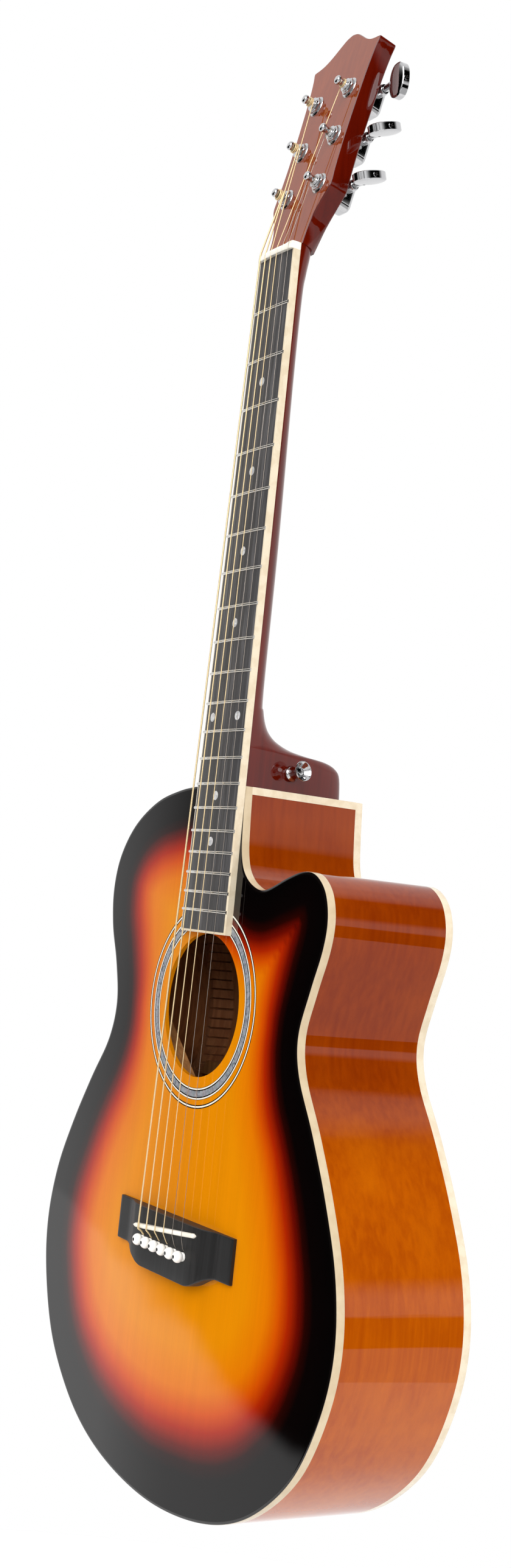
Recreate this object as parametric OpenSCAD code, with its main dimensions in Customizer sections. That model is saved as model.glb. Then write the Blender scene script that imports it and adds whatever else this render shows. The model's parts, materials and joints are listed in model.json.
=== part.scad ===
// Steel-string acoustic guitar with a cutaway body and three tuners on each side.
// X runs across the strings, to the treble side. Y runs from the front to the back.
// Z runs up along the neck. The soundboard's face lies in the plane Y = 0.
// The origin is on the centre line, where the arms of a wall hanger carry the headstock.
// Positions along the strings are given as u, the distance down from the nut's front edge.

/* [Scale] */
// String length from the nut to the nominal saddle line
scale_length = 650; // [640:1:655]
// Height of the hanger's arms above the nut's front edge
hang_above_nut = 20; // [14:1:26]
// Angle of the neck to the soundboard, in degrees
neck_angle = 0.25; // [0:0.05:0.5]

/* [Body] */
// Distance from the nut to the end of the body where the neck joins
body_start = 361.5; // [361:0.5:363]
// Depth of the body at the neck
depth_neck = 95; // [90:1:100]
// Depth of the body at the tail
depth_tail = 100.5; // [96:0.5:106]
// Thickness of the soundboard and of the back
plate_t = 3; // [2.5:0.1:3.5]
// Thickness of the sides
side_t = 3; // [2.6:0.1:3.4]
// Height of the binding on the sides
binding_h = 6; // [4:0.5:8]
// Thickness of the binding
binding_t = 2; // [1.5:0.1:2.2]
// Width of the kerfed lining
lining_w = 6; // [4:0.5:7]

/* [Soundhole] */
// Distance from the nut to the centre of the soundhole
hole_u = 507.5; // [505:0.5:510]
// Radius of the soundhole
hole_r = 47.5; // [44:0.5:50]

/* [Neck] */
// Half the neck's width at the nut
nut_half = 21.4; // [20.5:0.1:22.5]
// Half the fingerboard's width at its end
board_end_half = 29; // [28:0.5:30]
// Distance from the nut to the end of the fingerboard
board_end = 460; // [452:1:460]
// Thickness of the fingerboard at its edge
board_t = 5.2; // [4.5:0.1:6.5]
// Radius of the fingerboard's crown
board_radius = 300; // [250:10:400]
// Number of frets
fret_count = 20; // [18:1:20]

/* [Headstock] */
// Angle of the headstock to the neck, in degrees
head_angle = 12.4; // [10:0.2:15]
// Thickness of the headstock
head_t = 14; // [13:0.5:15]
// Distance of the tuner posts from the centre line
post_x = 20; // [19:0.5:21]
// Distance from the nut's back edge to the nearest pair of tuners
post_first = 45.3; // [45:0.1:46]
// Spacing of the tuners along the headstock
post_step = 36.7; // [34:0.1:37]

/* [Strings and bridge] */
// Spacing of the bridge pins and of the strings at the saddle
pin_step = 10.8; // [10:0.1:11]
// Spacing of the strings at the nut
nut_step = 7.1; // [6.8:0.1:7.3]
// Height of the bridge in its middle
bridge_h = 9; // [8:0.2:9.4]

/* [Hidden] */
$fn = 48;
crown_fn = 1200;

big = 600;
body_length = 470;

// Body outline as [x, u], from the bass side of the neck round the tail to the cutaway's corner.
outline_points = [
    [-36, 361.5], [-58, 364], [-89, 372], [-118, 389], [-136, 412], [-141.5, 437],
    [-137, 463], [-125.5, 489], [-118, 517], [-124, 544], [-144, 574], [-165, 609],
    [-182, 646], [-188.5, 685], [-182, 723], [-162, 764], [-130, 795], [-94, 815],
    [-50, 827], [0, 831.5], [50, 827], [94, 815], [130, 795], [162, 764],
    [182, 723], [188.5, 685], [182, 646], [165, 607], [144, 570], [124, 539],
    [118.5, 515], [126, 488], [135, 462], [137, 443], [131.5, 426.5], [119.5, 416.5],
    [105, 415], [88, 419.5], [64, 428], [49, 426], [37, 418], [31, 406], [28.5, 388],
    [26.5, 361.5]
];
curve_steps = 4;

// Headstock outline as [x, s], treble half, from the nut up to the middle of its tip.
head_points = [
    [22.2, 0], [22.4, 8], [23.6, 17], [26.8, 25], [31.4, 33], [34.6, 38.5], [35.6, 42],
    [35.6, 46], [34.6, 56], [33.8, 75], [34.2, 100], [35.6, 127], [37.6, 143],
    [39.6, 151], [38.2, 152.6], [33, 153.2], [27, 154.6], [20, 158], [12, 163.4],
    [6, 167], [0, 168.4]
];

// Neck and heel sections as [u, front y, half width, depth, squareness, side taper].
neck_sections = [
    [-26, 6, 22, 11, 2, 0], [-12, 3, 21.8, 11, 2, 0], [-5, 0.4, 21.6, 12.4, 2, 0],
    [4, 0, 21.5, 12.2, 2, 0], [90, 0, 22.7, 12.8, 2, 0], [200, 0, 24.4, 15.4, 2, 0],
    [296, 0, 26, 15.8, 2, 0], [310, 0, 26.2, 18, 2.1, 0.04], [320, 0, 26.4, 22.5, 2.2, 0.1],
    [326, 0, 26.4, 28.5, 2.4, 0.16], [330, 0, 26.4, 36, 2.7, 0.2], [333, 0, 26.4, 46, 3.1, 0.24],
    [335, 0, 26.4, 60, 3.6, 0.27], [336.5, 0, 26.4, 74, 4, 0.3], [340, 0, 26.4, 82, 4.6, 0.32],
    [346, 0, 26.4, 85.4, 5.2, 0.33], [363, 0, 26.4, 87, 5.6, 0.34]
];
section_steps = 20;

// Strings: radius of each, from the bass to the treble side.
string_r = [0.68, 0.54, 0.42, 0.32, 0.2, 0.15];
string_over_nut = 2.6;
saddle_top_bass = 13.4;
saddle_top_treble = 12.2;
saddle_u = 655.8;
saddle_turn = 5.8;
saddle_half = 38.6;
saddle_w = 3;
pin_u = 667.5;
pin_r = 2.45;
pin_head_r = 3.9;
string_notch = pin_r + 0.75;

bridge_half = 74.6;
bridge_top_u = 646.4;
bridge_wing_u = 675.2;
bridge_belly_u = 685.6;

// Tuner sizes
post_r = 3;
post_fit = 0.05;
post_top = 12.2;
wrap_r = 2.3;
gear_teeth = 15;
gear_r = 4;
tooth_depth = 0.3;
worm_r = 1.75;
worm_gap = 0.15;
shaft_r = 1.5;
shaft_y = head_t + 5.5;
shaft_s = gear_r + worm_r + worm_gap;
housing_r = 7.5;
housing_depth = 11;
button_near = 21;
button_l = 16;
button_h = 24;
button_t = 6.6;

// Truss rod
rod_r = 2.5;
rod_y = 7;
block_end = 408;
tenon_half = 12;
tenon_end = 381;
tenon_y = binding_h + 0.2;
tenon_depth = 70;
truss_nut_start = block_end + 3;
truss_nut_l = 14;

// ---- Helpers -------------------------------------------------------------------------

function zu(u) = -(hang_above_nut + u);
function place(p) = [p.x, zu(p.y)];
function unit2(v) = v / norm(v);
function fret_u(n) = scale_length * (1 - pow(2, -n / 12));
function back_y(u) = depth_neck + (depth_tail - depth_neck) * (u - body_start) / body_length;
function string_x(i, step) = (i - 3.5) * step;

// A smooth curve through points p, with straight runs kept at both ends.
function curve_at(p, i, t) =
    let (
        a = p[max(i - 1, 0)], b = p[i], c = p[i + 1], d = p[min(i + 2, len(p) - 1)],
        s = (c - a) / 2, e = (d - b) / 2
    )
    b * (2 * t * t * t - 3 * t * t + 1) + s * (t * t * t - 2 * t * t + t)
        + c * (3 * t * t - 2 * t * t * t) + e * (t * t * t - t * t);
function curve(p, steps) = concat(
    [for (i = [0:len(p) - 2], k = [0:steps - 1]) curve_at(p, i, k / steps)],
    [p[len(p) - 1]]
);

// An outline moved inwards by d, for points that run anticlockwise.
function inset(p, d) =
    let (n = len(p))
    [for (i = [0:n - 1])
        let (
            u = unit2(p[i] - p[(i + n - 1) % n]), v = unit2(p[(i + 1) % n] - p[i]),
            m = [-u.y, u.x], k = [-v.y, v.x]
        )
        p[i] + d * (m + k) / (1 + m * k)];

body_curve = [for (q = curve(outline_points, curve_steps)) place(q)];

// A flat outline in X and Z, run from y0 to y1.
module prism(points, y0, y1)
    translate([0, y1, 0]) rotate([90, 0, 0]) linear_extrude(y1 - y0) polygon(points);

// The body's outline, moved in by d, from y0 to y1.
module body_prism(d, y0, y1) prism(inset(body_curve, d), y0, y1);

// The slab between distances a and b in front of the sloping back.
module back_slab(a, b)
    rotate([90, 0, 90]) linear_extrude(2 * big, center = true)
        polygon([for (q = [[340, b], [340, a], [860, a], [860, b]])
            [back_y(q[0]) - q[1], zu(q[0])]]);

// A ring round the body between two insets, in a slab of the back.
module back_ring(outer, inner, a, b)
    intersection() {
        difference() {
            body_prism(outer, 0, 130);
            body_prism(inner, -1, 131);
        }
        back_slab(a, b);
    }

module front_ring(outer, inner, y0, y1)
    difference() {
        body_prism(outer, y0, y1);
        body_prism(inner, y0 - 1, y1 + 1);
    }

// A box given by its x, u and y ranges.
module box_u(x0, x1, u0, u1, y0, y1)
    translate([x0, y0, zu(u1)]) cube([x1 - x0, y1 - y0, u1 - u0]);

// Puts children in the neck's frame, whose top is the plane y = 0.
module neck_frame()
    translate([0, 0, zu(body_start)]) rotate([-neck_angle, 0, 0]) translate([0, 0, -zu(body_start)])
        children();

// Puts children on the headstock: z runs up from the nut's back edge, y goes in from the face.
module head_frame()
    neck_frame() translate([0, 0, zu(-5)]) rotate([-head_angle, 0, 0]) children();

// Tuner i: 1 to 3 up the treble side, 4 to 6 up the bass side. The treble one is drawn.
module at_tuner(i)
    head_frame() mirror([i > 3 ? 1 : 0, 0, 0])
        translate([post_x, 0, post_first + ((i - 1) % 3) * post_step])
            children();

module along_y(r, y0, y1, r2 = -1)
    translate([0, y1, 0]) rotate([90, 0, 0]) cylinder(h = y1 - y0, r1 = r2 < 0 ? r : r2, r2 = r);

module along_x(r, x0, x1, r2 = -1)
    translate([x0, 0, 0]) rotate([0, 90, 0]) cylinder(h = x1 - x0, r1 = r, r2 = r2 < 0 ? r : r2);

module at_pins()
    for (i = [1:6]) translate([string_x(i, pin_step), 0, zu(pin_u)]) children();

// ---- Body ----------------------------------------------------------------------------

// Where each bridge pin goes in, with the notch beside it for its string.
module pin_holes(y0, y1)
    at_pins() {
        along_y(pin_r + 0.05, y0, y1);
        translate([0, 0, string_notch]) along_y(0.8, y0, y1);
    }

module rosette_rings(y0, y1)
    translate([0, 0, zu(hole_u)]) {
        difference() {
            along_y(62.4, y0, y1);
            along_y(54.6, y0 - 1, y1 + 1);
        }
        difference() {
            along_y(68.1, y0, y1);
            along_y(65.7, y0 - 1, y1 + 1);
        }
    }

module soundboard()
    color("darkorange") difference() {
        body_prism(binding_t, 0, plate_t);
        translate([0, 0, zu(hole_u)]) along_y(hole_r, -1, plate_t + 1);
        rosette_rings(-1, 1);
        pin_holes(-1, plate_t + 1);
    }

module back_plate()
    color("saddlebrown") intersection() {
        body_prism(binding_t, 60, 130);
        back_slab(0, plate_t);
    }

// The space that the neck's tenon fills in the rim and the neck block.
module tenon_space() box_u(-tenon_half, tenon_half, body_start - 2, tenon_end, tenon_y, tenon_depth);

// The truss rod's channel, closed by the fingerboard.
module rod_channel() box_u(-rod_r - 0.4, rod_r + 0.4, 8, 400, -5, rod_y + rod_r + 0.4);

// Both sides as one bent wall, with rebates for the bindings.
module rim()
    difference() {
        intersection() {
            front_ring(0, side_t, plate_t, 130);
            back_slab(plate_t, 200);
        }
        front_ring(-1, binding_t, 0, binding_h);
        back_ring(-1, binding_t, 0, binding_h);
        corner_strip();
        tenon_space();
        rod_channel();
    }

module side_bass() color("sienna") intersection() {
    rim();
    box_u(-big, 0, 340, 860, 0, 140);
}

module side_treble() color("sienna") intersection() {
    rim();
    box_u(0, big, 340, 860, 0, 140);
}

module binding_front()
    color("wheat") difference() {
        front_ring(0, binding_t, 0, binding_h);
        rod_channel();
    }

module binding_back() color("wheat") back_ring(0, binding_t, 0, binding_h);

// The upright strip on the cutaway wall beside the heel.
module corner_strip()
    intersection() {
        front_ring(0, binding_t, binding_h, 130);
        back_slab(binding_h, 200);
        box_u(20, 40, 355, body_start + 5, 0, 130);
    }

module binding_corner() color("wheat") corner_strip();

module block_space() {
    box_u(-34, 23.6, 362, block_end, 0, 130);
    box_u(-36, 36, 808, 834, 0, 130);
}

module linings()
    color("burlywood") difference() {
        union() {
            front_ring(side_t, side_t + lining_w, plate_t, 17);
            back_ring(side_t, side_t + lining_w, plate_t, 21);
        }
        block_space();
    }

// The inside of the rim between the plates, cut to a box.
module inner_block(x0, x1, u0, u1)
    intersection() {
        body_prism(side_t, plate_t, 130);
        back_slab(plate_t, 200);
        box_u(x0, x1, u0, u1, 0, 130);
    }

module neck_block()
    color("tan") difference() {
        inner_block(-34, 23.4, 362, block_end);
        tenon_space();
        translate([0, rod_y, zu(block_end + 1)]) cylinder(h = 60, r = rod_r + 0.4);
    }

module tail_block() color("tan") inner_block(-36, 36, 808, 834);

// A bar under the soundboard, centred at [x, u], turned by angle.
module top_bar(x, u, angle, length, width, height)
    translate([x, plate_t + height / 2, zu(u)]) rotate([0, angle, 0])
        cube([length, height, width], center = true);

module x_bars()
    for (a = [-40, 40]) top_bar(0, 580, a, 460, 7, 12);

module top_braces()
    color("wheat") difference() {
        intersection() {
            body_prism(side_t + lining_w + 0.2, plate_t, 20);
            union() {
                x_bars();
                top_bar(0, 442, 0, 320, 12, 14);
                top_bar(-40, 735, 22, 150, 6, 9);
                top_bar(30, 760, 22, 110, 6, 9);
                top_bar(-66, 505, 90, 60, 9, 4);
                top_bar(66, 505, 90, 60, 9, 4);
            }
        }
        translate([0, rod_y, zu(460)]) cylinder(h = 40, r = 6);
    }

module bridge_plate()
    color("tan") difference() {
        box_u(-70, 70, 644, 690, plate_t, plate_t + 2.5);
        x_bars();
        pin_holes(0, 12);
    }

brace_u = [432, 560, 660, 752];

module back_bar(u, grow = 0)
    box_u(-big, big, u - 5 - grow, u + 5 + grow, 60, 130);

module back_braces()
    color("wheat") intersection() {
        body_prism(side_t + lining_w + 0.2, 60, 130);
        union() {
            intersection() {
                union() for (u = brace_u) back_bar(u);
                back_slab(plate_t, plate_t + 13);
            }
            difference() {
                intersection() {
                    box_u(-9, 9, block_end, 808, 60, 130);
                    back_slab(plate_t, plate_t + 2);
                }
                for (u = brace_u) back_bar(u, 0.4);
            }
        }
    }

module rosette() color("silver") rosette_rings(0, 1);

// ---- Bridge --------------------------------------------------------------------------

bridge_plan = concat(
    [[-bridge_half, bridge_top_u], [-bridge_half, bridge_wing_u]],
    [for (k = [0:10]) let (t = k / 10)
        [-60 + 32 * t, bridge_wing_u + (bridge_belly_u - bridge_wing_u) * (1 - cos(180 * t)) / 2]],
    [for (k = [0:10]) let (t = 1 - k / 10)
        [60 - 32 * t, bridge_wing_u + (bridge_belly_u - bridge_wing_u) * (1 - cos(180 * t)) / 2]],
    [[bridge_half, bridge_wing_u], [bridge_half, bridge_top_u]]
);
bridge_half_profile = [[74.6, 2.6], [58, 3.4], [53, 4.4], [49, 6.4], [44, 8.2], [30, bridge_h]];
bridge_profile = concat(
    [[-bridge_half, 0]],
    [for (q = bridge_half_profile) [-q.x, q.y]],
    [for (k = [len(bridge_half_profile) - 1:-1:0]) bridge_half_profile[k]],
    [[bridge_half, 0]]
);

module at_saddle()
    translate([1, 0, zu(saddle_u)]) rotate([0, -saddle_turn, 0]) children();

module saddle_bar(y0, y1, grow)
    translate([0, y1, 0]) rotate([90, 0, 0]) linear_extrude(y1 - y0) union() {
        square([2 * saddle_half - saddle_w, saddle_w + grow], center = true);
        for (side = [-1, 1])
            translate([side * (saddle_half - saddle_w / 2), 0]) circle(d = saddle_w + grow);
    }

module bridge()
    color("dimgray") difference() {
        intersection() {
            prism([for (q = bridge_plan) place(q)], -20, 0);
            translate([0, 0, zu(700)]) linear_extrude(80)
                polygon([for (q = bridge_profile) [q.x, -q.y]]);
        }
        at_saddle() saddle_bar(-20, -4, 0);
        pin_holes(-20, 1);
        // Ramps that lead the strings into their holes.
        at_pins() translate([0, 0, string_notch + 0.45]) along_y(0.8, -20, 1.2 - bridge_h);
    }

function saddle_top(x) =
    (saddle_top_bass + saddle_top_treble) / 2
        + (saddle_top_treble - saddle_top_bass) * x / (5 * pin_step)
        - 1.6 * pow(x / saddle_half, 4);

module saddle()
    color("ivory") intersection() {
        at_saddle() saddle_bar(-20, -4, 0);
        translate([0, 0, zu(680)]) linear_extrude(60) polygon(concat(
            [[saddle_half + 4, 0], [-saddle_half - 4, 0]],
            [for (k = [-10:10]) let (x = k * (saddle_half + 1) / 10)
                [x, -saddle_top(x)]]
        ));
    }

// Round-headed pins that hold the strings' ends in the bridge.
module bridge_pins()
    color("ivory") at_pins() translate([0, -bridge_h, 0]) rotate([90, 0, 0])
        rotate_extrude() polygon(concat(
            [[0, -22], [1.9, -22], [pin_r, -14], [pin_r, 0], [2.9, 0.2], [2.9, 1.4]],
            [for (a = [-50:12.5:90]) [pin_head_r * cos(a), 4.2 + pin_head_r * sin(a) * 0.9]]
        ));

// ---- Neck ----------------------------------------------------------------------------

function section_ring(q) =
    [for (k = [0:section_steps])
        let (
            a = 180 * k / section_steps, c = cos(a), n = 2 / q[4],
            y = q[3] * pow(max(sin(a), 0), n),
            x = q[2] * sign(c) * pow(abs(c), n) * (1 - q[5] * y / q[3])
        )
        [x, q[1] + y, zu(q[0])]];

// Neck shaft and heel as one skin through the sections.
module shaft()
    let (
        rings = [for (q = neck_sections) section_ring(q)],
        m = section_steps + 1, n = len(rings)
    )
    polyhedron(
        points = [for (r = rings, p = r) p],
        faces = concat(
            [[for (k = [m - 1:-1:0]) k]],
            [[for (k = [0:m - 1]) (n - 1) * m + k]],
            [for (j = [0:n - 2], k = [0:m - 1]) let (e = (k + 1) % m)
                [j * m + k, (j + 1) * m + e, (j + 1) * m + k]],
            [for (j = [0:n - 2], k = [0:m - 1]) let (e = (k + 1) % m)
                [j * m + k, j * m + e, (j + 1) * m + e]]
        )
    );

head_curve = let (half = curve(head_points, 2)) concat(
    half, [for (k = [len(half) - 2:-1:0]) [-half[k].x, half[k].y]]
);

module headstock() head_frame() prism(head_curve, 0, head_t);

module neck()
    color("brown") difference() {
        union() {
            neck_frame() shaft();
            headstock();
            tenon_space();
        }
        difference() {
            box_u(-60, 60, body_start, 400, -20, 130);
            tenon_space();
        }
        // Room in front for the nut and the fingerboard.
        neck_frame() box_u(-60, 60, -5, 400, -20, 0);
        rod_channel();
        for (i = [1:6]) at_tuner(i) along_y(4.6, -1, head_t + 1);
        strap_button_frame() {
            along_x(1.6, -14, 1);
            along_x(5.8, 0.4, 6);
        }
    }

module truss_rod()
    color("slategray") translate([0, rod_y, 0]) {
        translate([0, 0, zu(truss_nut_start)]) cylinder(h = truss_nut_start - 12, r = rod_r);
        translate([0, 0, zu(truss_nut_start + 9)]) cylinder(h = 9.5, r = 2);
        translate([0, 0, zu(14)]) cube([5.4, 5.4, 4], center = true);
    }

// Hex-socket nut that tightens the rod, reached through the soundhole.
module truss_rod_nut()
    color("goldenrod") translate([0, rod_y, zu(truss_nut_start + truss_nut_l + 0.2)]) difference() {
        cylinder(h = truss_nut_l, r = 3.6);
        translate([0, 0, 4.6]) cylinder(h = truss_nut_l, r = 2.05);
        translate([0, 0, -1]) cylinder(h = 5, r = 2.6, $fn = 6);
    }

// ---- Fingerboard ---------------------------------------------------------------------

// Plan of the fingerboard, smaller by d at the sides and the end.
function board_plan(d) = [
    [nut_half - d, 0], [-nut_half + d, 0],
    [-board_end_half + d, board_end - d], [board_end_half - d, board_end - d]
];

// The crowned slab of the fingerboard, raised by h, over a plan.
module board_slab(plan, h)
    intersection() {
        prism([for (q = plan) place(q)], -20, 10);
        translate([0, board_radius - board_t - h - 0.8, zu(board_end)])
            cylinder(h = board_end, r = board_radius, $fn = crown_fn);
        rotate([90, 0, 90]) linear_extrude(100, center = true)
            polygon([[-20, zu(0)], [0, zu(0)], [0, zu(body_start)],
                [(board_end - body_start) * tan(neck_angle), zu(board_end)], [-20, zu(board_end)]]);
    }

module fret_tangs()
    for (n = [1:fret_count])
        box_u(-board_end_half - 1, board_end_half + 1, fret_u(n) - 0.3, fret_u(n) + 0.3, -9, -3.6);

module marker_dots(y0, y1)
    for (q = [[3, 0], [5, 0], [7, 0], [9, 0], [12, -16], [12, 16], [15, 0], [17, 0]])
        translate([q[1], 0, zu((fret_u(q[0]) + fret_u(q[0] - 1)) / 2)]) along_y(3.1, y0, y1);

module fingerboard()
    color("dimgray") neck_frame() difference() {
        board_slab(board_plan(1.5), 0);
        fret_tangs();
        marker_dots(-12, -4);
    }

module fingerboard_binding()
    color("wheat") neck_frame() difference() {
        board_slab(board_plan(0), 0);
        prism([for (q = [
            [nut_half - 1.5, -1], [-nut_half + 1.5, -1],
            [-board_end_half + 1.5, board_end - 1.5], [board_end_half - 1.5, board_end - 1.5]
        ]) place(q)], -21, 11);
    }

// Fret wires: a low crown across the board and a tang in its slot.
module frets()
    color("silver") neck_frame() {
        difference() {
            intersection() {
                board_slab(board_plan(0.3), 1);
                for (n = [1:fret_count])
                    box_u(-40, 40, fret_u(n) - 1.1, fret_u(n) + 1.1, -20, 0);
            }
            board_slab([[-60, -10], [-60, 480], [60, 480], [60, -10]], 0);
        }
        intersection() {
            board_slab(board_plan(1.5), 0.2);
            fret_tangs();
        }
    }

module fret_markers()
    color("gainsboro") neck_frame() intersection() {
        board_slab(board_plan(2), 0);
        marker_dots(-12, -4);
    }

nut_top = board_t + 0.8 + 2.7;

module nut()
    color("ivory") neck_frame() difference() {
        intersection() {
            box_u(-nut_half, nut_half, -5, 0, -nut_top, 0);
            translate([0, 160 - nut_top, zu(1)]) cylinder(h = 10, r = 160, $fn = crown_fn);
        }
        for (i = [1:6])
            translate([string_x(i, nut_step), -(board_t + string_over_nut), zu(1)])
                translate([-string_r[i - 1], -6, 0]) cube([2 * string_r[i - 1], 6, 10]);
        for (i = [1:6])
            translate([string_x(i, nut_step), -(board_t + string_over_nut), zu(1)])
                cylinder(h = 10, r = string_r[i - 1], $fn = 24);
    }

// ---- Tuners --------------------------------------------------------------------------

module housing_plan()
    union() {
        translate([0, -3.5]) circle(r = housing_r);
        translate([0, 3.5]) circle(r = housing_r);
        translate([-housing_r, -3.5]) square([2 * housing_r, 7]);
        translate([-housing_r + 2, -14.5]) square([5, 8]);
        translate([-housing_r + 4.5, -14.5]) circle(r = 2.5);
    }

// Die-cast case round each worm and gear, with an ear for its screw.
module housing()
    difference() {
        union() {
            intersection() {
                translate([0, head_t + housing_depth, 0]) rotate([90, 0, 0])
                    linear_extrude(housing_depth) housing_plan();
                union() {
                    translate([-20, head_t, -11]) cube([40, housing_depth, 30]);
                    translate([-20, head_t, -30]) cube([40, 2, 30]);
                }
            }
            translate([0, shaft_y, shaft_s]) along_x(4, 5, 12.6, 3.4);
        }
        along_y(gear_r + 0.8, head_t + 2, head_t + 9);
        along_y(post_r + 0.3, head_t - 1, head_t + 3);
        translate([0, shaft_y, shaft_s]) {
            along_x(2.5, -4.6, 4.8);
            along_x(shaft_r + post_fit, 4, 13);
            along_x(1.05, -6.4, -4);
        }
        translate([-housing_r + 4.5, 0, -14.5]) along_y(1.2, head_t - 1, head_t + 3);
    }

module tuner_housings() color("lightgray") for (i = [1:6]) at_tuner(i) housing();

module tuner_screws()
    color("lightgray") for (i = [1:6]) at_tuner(i)
        translate([-housing_r + 4.5, head_t, -14.5]) difference() {
            union() {
                along_y(1.2, 0, 2);
                along_y(2.2, 2, 3.4, 1.6);
            }
            translate([0, 3.4, 0]) cube([2.4, 1.2, 0.6], center = true);
            translate([0, 3.4, 0]) cube([0.6, 1.2, 2.4], center = true);
        }

// Threaded sleeve with a six-sided head, screwed in from the front.
module tuner_bushings()
    color("lightgray") for (i = [1:6]) at_tuner(i) difference() {
        union() {
            along_y(4.5, -1, 10);
            translate([0, -0.9, 0]) rotate([90, 0, 0]) cylinder(h = 2, r = 6, $fn = 6);
            along_y(4.2, -4.1, -2.9, 4.9);
        }
        along_y(post_r + post_fit, -5, 11);
    }

module tuner_washers()
    color("lightgray") for (i = [1:6]) at_tuner(i) difference() {
        along_y(7.3, -0.9, 0);
        along_y(4.55, -2, 1);
    }

// Post: journal in the sleeve, waist for the string, round head, and a seat for the gear.
module tuner_post(i)
    color("lightgray") at_tuner(i) difference() {
        rotate([90, 0, 0]) rotate_extrude() polygon([
            [0, -22.5], [2, -22.5], [2, -17.5], [post_r, -17.5], [post_r, 4.2],
            [wrap_r + 0.3, 4.6], [wrap_r, 5], [wrap_r, 8.4], [2.6, 8.9], [3, 9.4],
            [3.1, 10.4], [2.9, 11.4], [2.2, 12], [0, post_top]
        ]);
        translate([0, -7.4, 0]) cylinder(h = 10, r = 0.8, center = true);
    }

module tuner_gear(i)
    color("goldenrod") at_tuner(i) difference() {
        translate([0, head_t + 7, 0]) rotate([90, 0, 0]) linear_extrude(3) polygon(
            [for (k = [0:gear_teeth * 8 - 1]) let (a = 90 + k * 3)
                (gear_r - tooth_depth * cos(gear_teeth * (a - 90))) * [cos(a), sin(a)]]
        );
        along_y(2, head_t, head_t + 10);
    }

worm_lead = 2 * PI * gear_r / gear_teeth;
worm_turns = 4;
worm_sides = 12;

// Worm cut on the button's shaft, with the screw in the shaft's outer end.
module tuner_worm(i)
    color("lightgray") at_tuner(i) translate([0, shaft_y, shaft_s]) {
        rotate([0, 90, 0]) translate([0, 0, -worm_turns * worm_lead / 2])
            linear_extrude(worm_turns * worm_lead, twist = -360 * worm_turns,
                slices = 8 * worm_turns, segments = worm_sides)
                translate([tooth_depth, 0]) polygon([for (k = [0:worm_sides - 1])
                    worm_r * [cos(360 * k / worm_sides), sin(360 * k / worm_sides)]]);
        along_x(1, -6.2, -3);
        along_x(shaft_r, worm_turns * worm_lead / 2 - 0.4, button_near + button_l - 4);
        difference() {
            along_x(2, button_near + button_l - 1.2, button_near + button_l + 0.3);
            translate([button_near + button_l + 0.3, 0, 0]) cube([1, 2.6, 0.6], center = true);
            translate([button_near + button_l + 0.3, 0, 0]) cube([1, 0.6, 2.6], center = true);
        }
        along_x(1, button_near + button_l - 4.2, button_near + button_l - 1);
    }

// How far each button stands turned about its shaft, in degrees.
button_turn = [119, 121, 15, 70, 20, 50];

module tuner_button(i)
    color("lightgray") at_tuner(i) translate([0, shaft_y, shaft_s]) rotate([button_turn[i - 1], 0, 0])
        difference() {
            union() {
                translate([0, button_t / 2, 0]) rotate([90, 0, 0]) linear_extrude(button_t)
                    polygon([for (a = [0:7.5:352.5]) [
                        button_near + button_l / 2
                            + button_l / 2 * sign(cos(a)) * pow(abs(cos(a)), 0.8),
                        button_h / 2 * sign(sin(a)) * pow(abs(sin(a)), 0.9)
                    ]]);
                along_x(2.5, 13, button_near + 2, 3.2);
            }
            along_x(shaft_r, 12, button_near + button_l - 4);
            along_x(1, button_near + button_l - 5, button_near + button_l);
            along_x(2, button_near + button_l - 1.2, button_near + button_l + 2);
        }

// ---- Strap button --------------------------------------------------------------------

module strap_button_frame()
    translate([22.6, 37, zu(349)]) rotate([0, -10, 6]) children();

// Flared button on the heel's treble side, with its wood screw.
module strap_button()
    color("lightgray") strap_button_frame() rotate([0, 90, 0]) {
        difference() {
            rotate_extrude() polygon([
                [0, 0.4], [5.2, 0.4], [5.4, 1.6], [4.4, 3], [4.1, 6], [4.5, 9],
                [6.2, 11.6], [6.8, 12.8], [6.6, 13.4], [6, 13.2], [2.6, 9.4], [0, 9.4]
            ]);
            translate([0, 0, -1]) cylinder(h = 14, r = 1.9);
        }
        translate([0, 0, -14]) cylinder(h = 23.6, r = 1.6);
        translate([0, 0, 9.5]) cylinder(h = 1, r = 2.5);
    }

// ---- Strings -------------------------------------------------------------------------

// A point given in the neck's frame, in the body's frame.
function from_neck(p) =
    let (c = cos(neck_angle), s = sin(neck_angle), z = p.z - zu(body_start))
    [p.x, p.y * c + z * s, -p.y * s + z * c + zu(body_start)];

// A point on the headstock, in the body's frame.
function from_head(p) =
    let (c = cos(head_angle), s = sin(head_angle))
    from_neck([p.x, p.y * c + p.z * s, -p.y * s + p.z * c + zu(-5)]);

// String i counts from the bass side; its post is the i-th pair up on that side.
function string_post(i) = i <= 3 ? i + 3 : 7 - i;
function string_wrap_x(i) = i <= 3 ? -post_x : post_x;
function string_wrap_s(i) = post_first + ((string_post(i) - 1) % 3) * post_step;

wrap_turns = 2.25;
wrap_steps = 12;
string_sides = 8;

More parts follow.
